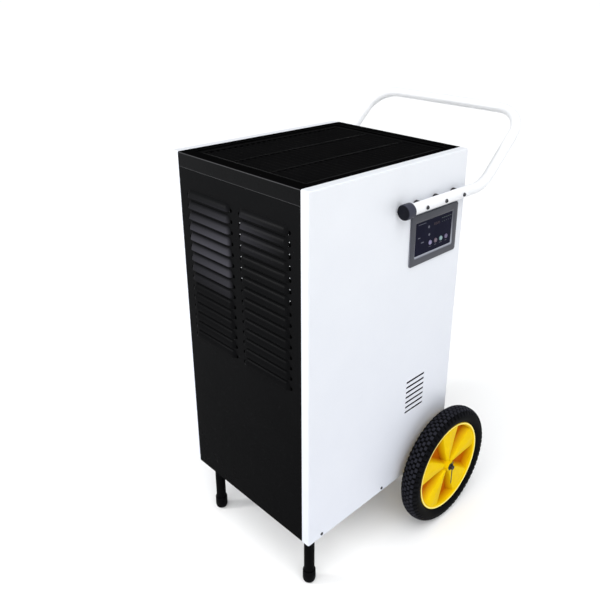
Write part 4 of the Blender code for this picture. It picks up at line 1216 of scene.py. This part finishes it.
def make_window_plate():
    """The smoked window, with a hole for each key."""
    bm = bmesh.new()
    rounded_box(bm, WINDOW_LOW, WINDOW_HIGH, 0.0003, 1)
    window = to_object("smoked_window", bm)
    holes = []
    for name in KEYS:
        at = node_middle(name)
        hole = round_cutter("key hole", (WINDOW_FACE, at.y, at.z), (1, 0, 0), KEY_RADIUS + 0.0003, 0.01)
        holes.append(hole)
    cut_all(window, holes)
    smooth(window)
    finish_piece(window, WINDOW, ROOT, "dark_window", "display_window")


def mark(bm, y, z, wide, high, radius):
    """A printed mark, a fraction of a millimetre thick, at a place on the window measured from its middle."""
    y, z = WINDOW_MIDDLE.y + y, WINDOW_MIDDLE.z + z
    rect = (y - wide / 2, z - high / 2, y + wide / 2, z + high / 2)
    loft(bm, [rounded_ring(bm, rect, radius, WINDOW_FACE + x, 4) for x in (0.00002, 0.00014)])


def digit(bm, y, z, wide, high):
    """Seven bars of a blank numeric display."""
    thick = high * 0.12
    for k in (-1, 0, 1):
        mark(bm, y, z + k * high / 2, wide - thick, thick, thick * 0.4)
    for side in (-1, 1):
        for k in (-1, 1):
            mark(bm, y + side * wide / 2, z + k * high / 4, thick, high / 2 - thick * 1.6, thick * 0.4)


def make_window_marks():
    """Blank digits, a row of level bars, plain dots and bars, and a line under each key."""
    digits, levels, status, lines = (bmesh.new() for _ in range(4))
    for i in range(4):
        digit(digits, 0.0010 + i * 0.0056, 0.0236, 0.0032, 0.0052)
    for i in range(5):
        mark(levels, 0.0300 + i * 0.0078, 0.0312, 0.0056, 0.0016, 0.0006)
        mark(levels, 0.0300 + i * 0.0078, 0.0225, 0.0030, 0.0011, 0.0004)
    for y, z in STATUS_DOTS:
        mark(status, y, z, 0.0062, 0.0062, 0.0030)
    for bar in STATUS_BARS:
        mark(status, *bar, 0.0004)
    for i, name in enumerate(KEYS):
        at = node_middle(name) - WINDOW_MIDDLE
        mark(lines, at.y, at.z - 0.0098, 0.0085 - 0.0012 * (i % 2), 0.0012, 0.0005)
    parts = (
        ("digit_bars", digits, glowing("dim red", (0.040, 0.017, 0.024), (0.50, 0.10, 0.09), 0.018)),
        ("level_bars", levels, glowing("dim green", (0.030, 0.048, 0.044), (0.12, 0.30, 0.20), 0.02)),
        ("status_marks", status, glowing("dim grey", (0.075, 0.078, 0.115), (0.2, 0.21, 0.3), 0.04)),
        ("key_marks", lines, glowing("key ink", (0.060, 0.064, 0.090), (0.2, 0.22, 0.3), 0.02)),
    )
    for name, bm, material in parts:
        finish_piece(solid(name, bm), material, ROOT, "dark_window")


def make_keys():
    """Round keys with a dished top and a skirt behind the window, each on a body of its own."""
    r, skirt = KEY_RADIUS, KEY_RADIUS + 0.0012
    behind = WINDOW_LOW.x - WINDOW_FACE - SEAM
    for name, (label, base, light, strength) in zip(KEYS, KEY_COLORS):
        low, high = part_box(name)
        at = node_middle(name)
        top, stem_end = high.x - WINDOW_FACE, low.x - WINDOW_FACE
        profile = [(0, top - 0.0007), (r * 0.45, top - 0.0005), (r * 0.62, top - 0.0001), (r * 0.72, top)]
        profile += [(r * 0.86, top - 0.0004), (r * 0.96, top - 0.0012), (r, top - 0.0022), (r, behind)]
        profile += [(skirt, behind), (skirt, behind - 0.0008), (0.002, behind - 0.0008)]
        profile += [(0.002, stem_end), (0, stem_end)]
        key = turned(name.replace("button", "key"), profile, (WINDOW_FACE, at.y, at.z), (1, 0, 0), 40)
        finish_piece(key, glowing(label, base, light, strength), f"{name}_key", "button_plastic", name)


# ---- Nodes that keep their CAD shape


def dress_cad_nodes():
    """Gives each node that no piece stands for its material."""
    dresses = (
        (ZINC, ("base_tray", "fan_deck", "fan_shaft", "fan_motor")),
        (DARK, ("axle_bracket_left", "axle_bracket_right", "compressor")),
        (BLACK_PLASTIC, ("fan_wheel",)),
        (GREY, ("electrical_box", "drain_spout")),
        (BOARD, ("control_board",)),
        (ALUMINIUM, ("evaporator_coil", "condenser_coil", "drip_tray")),
        (COPPER, ("suction_pipe", "discharge_pipe", "capillary_pipe")),
        (FILTER, ("air_filter",)),
        (HOSE, ("drain_hose",)),
        (RUBBER, ("cable_gland",)),
    )
    for material, names in dresses:
        for name in names:
            materials = nodes[name].data.materials
            materials.clear()
            materials.append(material)


# ---- Studio

FLOOR_HALF = 80.0
FLOOR_Z = -0.0006
CAMERA_AZIMUTH, CAMERA_ELEVATION, CAMERA_ROLL = (math.radians(d) for d in (43.46, 21.93, 1.12))
CAMERA_PLACE = Vector((1.0241, MIDDLE_Y - 1.0208, 1.3255))
CAMERA_LENS = 39.71
CAMERA_SHIFT = (-0.0667, -0.0833)


def make_floor():
    bm = bmesh.new()
    corners = [(x * FLOOR_HALF, y * FLOOR_HALF, FLOOR_Z) for x, y in ((-1, -1), (1, -1), (1, 1), (-1, 1))]
    bm.faces.new([bm.verts.new(corner) for corner in corners])
    floor = to_object("floor", bm)
    shader = Shader("studio floor", 0.9, specular=0.0)
    shader.color(shader.ramp(shader.noise(1.2, 2.0), (0.3, 0.885), (0.7, 0.895)))
    floor.data.materials.append(shader.material)


def add_light(name, kind, energy, toward, place=(0, 0, 0)):
    """A light that shines toward a direction. Returns its data, for what its kind needs."""
    data = bpy.data.lights.new(name, kind)
    data.energy = energy
    light = bpy.data.objects.new(name, data)
    bpy.context.scene.collection.objects.link(light)
    light.location = place
    light.rotation_euler = toward.to_track_quat("-Z", "Y").to_euler()
    return data


def make_world():
    """A pale surround: white where it meets the floor, and softer overhead."""
    world = bpy.data.worlds.new("studio")
    world.use_nodes = True
    tree = world.node_tree
    toward = tree.nodes.new("ShaderNodeTexCoord").outputs["Generated"]
    split = tree.nodes.new("ShaderNodeSeparateXYZ")
    ramp = tree.nodes.new("ShaderNodeValToRGB")
    stops = ramp.color_ramp.elements
    stops[0].position, stops[0].color = 0.12, (1.02, 1.02, 1.02, 1)
    stops[1].position, stops[1].color = 0.34, (0.385, 0.395, 0.405, 1)
    tree.links.new(toward, split.inputs["Vector"])
    tree.links.new(split.outputs["Z"], ramp.inputs["Fac"])
    tree.links.new(ramp.outputs["Color"], tree.nodes["Background"].inputs["Color"])
    bpy.context.scene.world = world


def make_lights():
    """A broad overhead panel, a soft key over the right side, and a low light that grazes the louvres."""
    sky = add_light("sky_panel", "SUN", 2.7, -Vector((0.36, -0.33, 0.87)))
    sky.angle = math.radians(70)
    key_place = Vector((1.6, MIDDLE_Y - 0.7, 2.3))
    key = add_light("key", "AREA", 9, Vector((0.2, MIDDLE_Y, 0.9)) - key_place, key_place)
    key.size = 1.2
    from_louvres = 1.8 * Vector((-0.638, -0.743, 0.1995))
    low_front = add_light("low_front", "AREA", 20, -from_louvres, Vector((-0.08, FRONT, 0.76)) + from_louvres)
    low_front.size = 0.35


def make_camera():
    az, el = CAMERA_AZIMUTH, CAMERA_ELEVATION
    back = Vector((math.sin(az) * math.cos(el), -math.cos(az) * math.cos(el), math.sin(el)))
    level = Vector((math.cos(az), math.sin(az), 0))
    right = math.cos(CAMERA_ROLL) * level + math.sin(CAMERA_ROLL) * back.cross(level)
    up = back.cross(right)
    data = bpy.data.cameras.new("camera")
    data.lens = CAMERA_LENS
    data.sensor_width = 36.0
    data.shift_x, data.shift_y = CAMERA_SHIFT
    camera = bpy.data.objects.new("camera", data)
    bpy.context.scene.collection.objects.link(camera)
    turn = Matrix((right, up, back)).transposed().to_4x4()
    camera.matrix_world = Matrix.Translation(CAMERA_PLACE) @ turn
    bpy.context.scene.camera = camera


make_front_panel()
make_louvre_end_shades()
make_side_panels()
make_back_panel()
make_top_cover()
make_outlet_grille()
make_panel_screws()
make_legs()
make_wheels()
make_axle_ends()
make_handle()
make_bezel()
make_window_plate()
make_window_marks()
make_keys()
dress_cad_nodes()
make_floor()
make_world()
make_lights()
make_camera()
bpy.context.scene.view_settings.view_transform = "Standard"
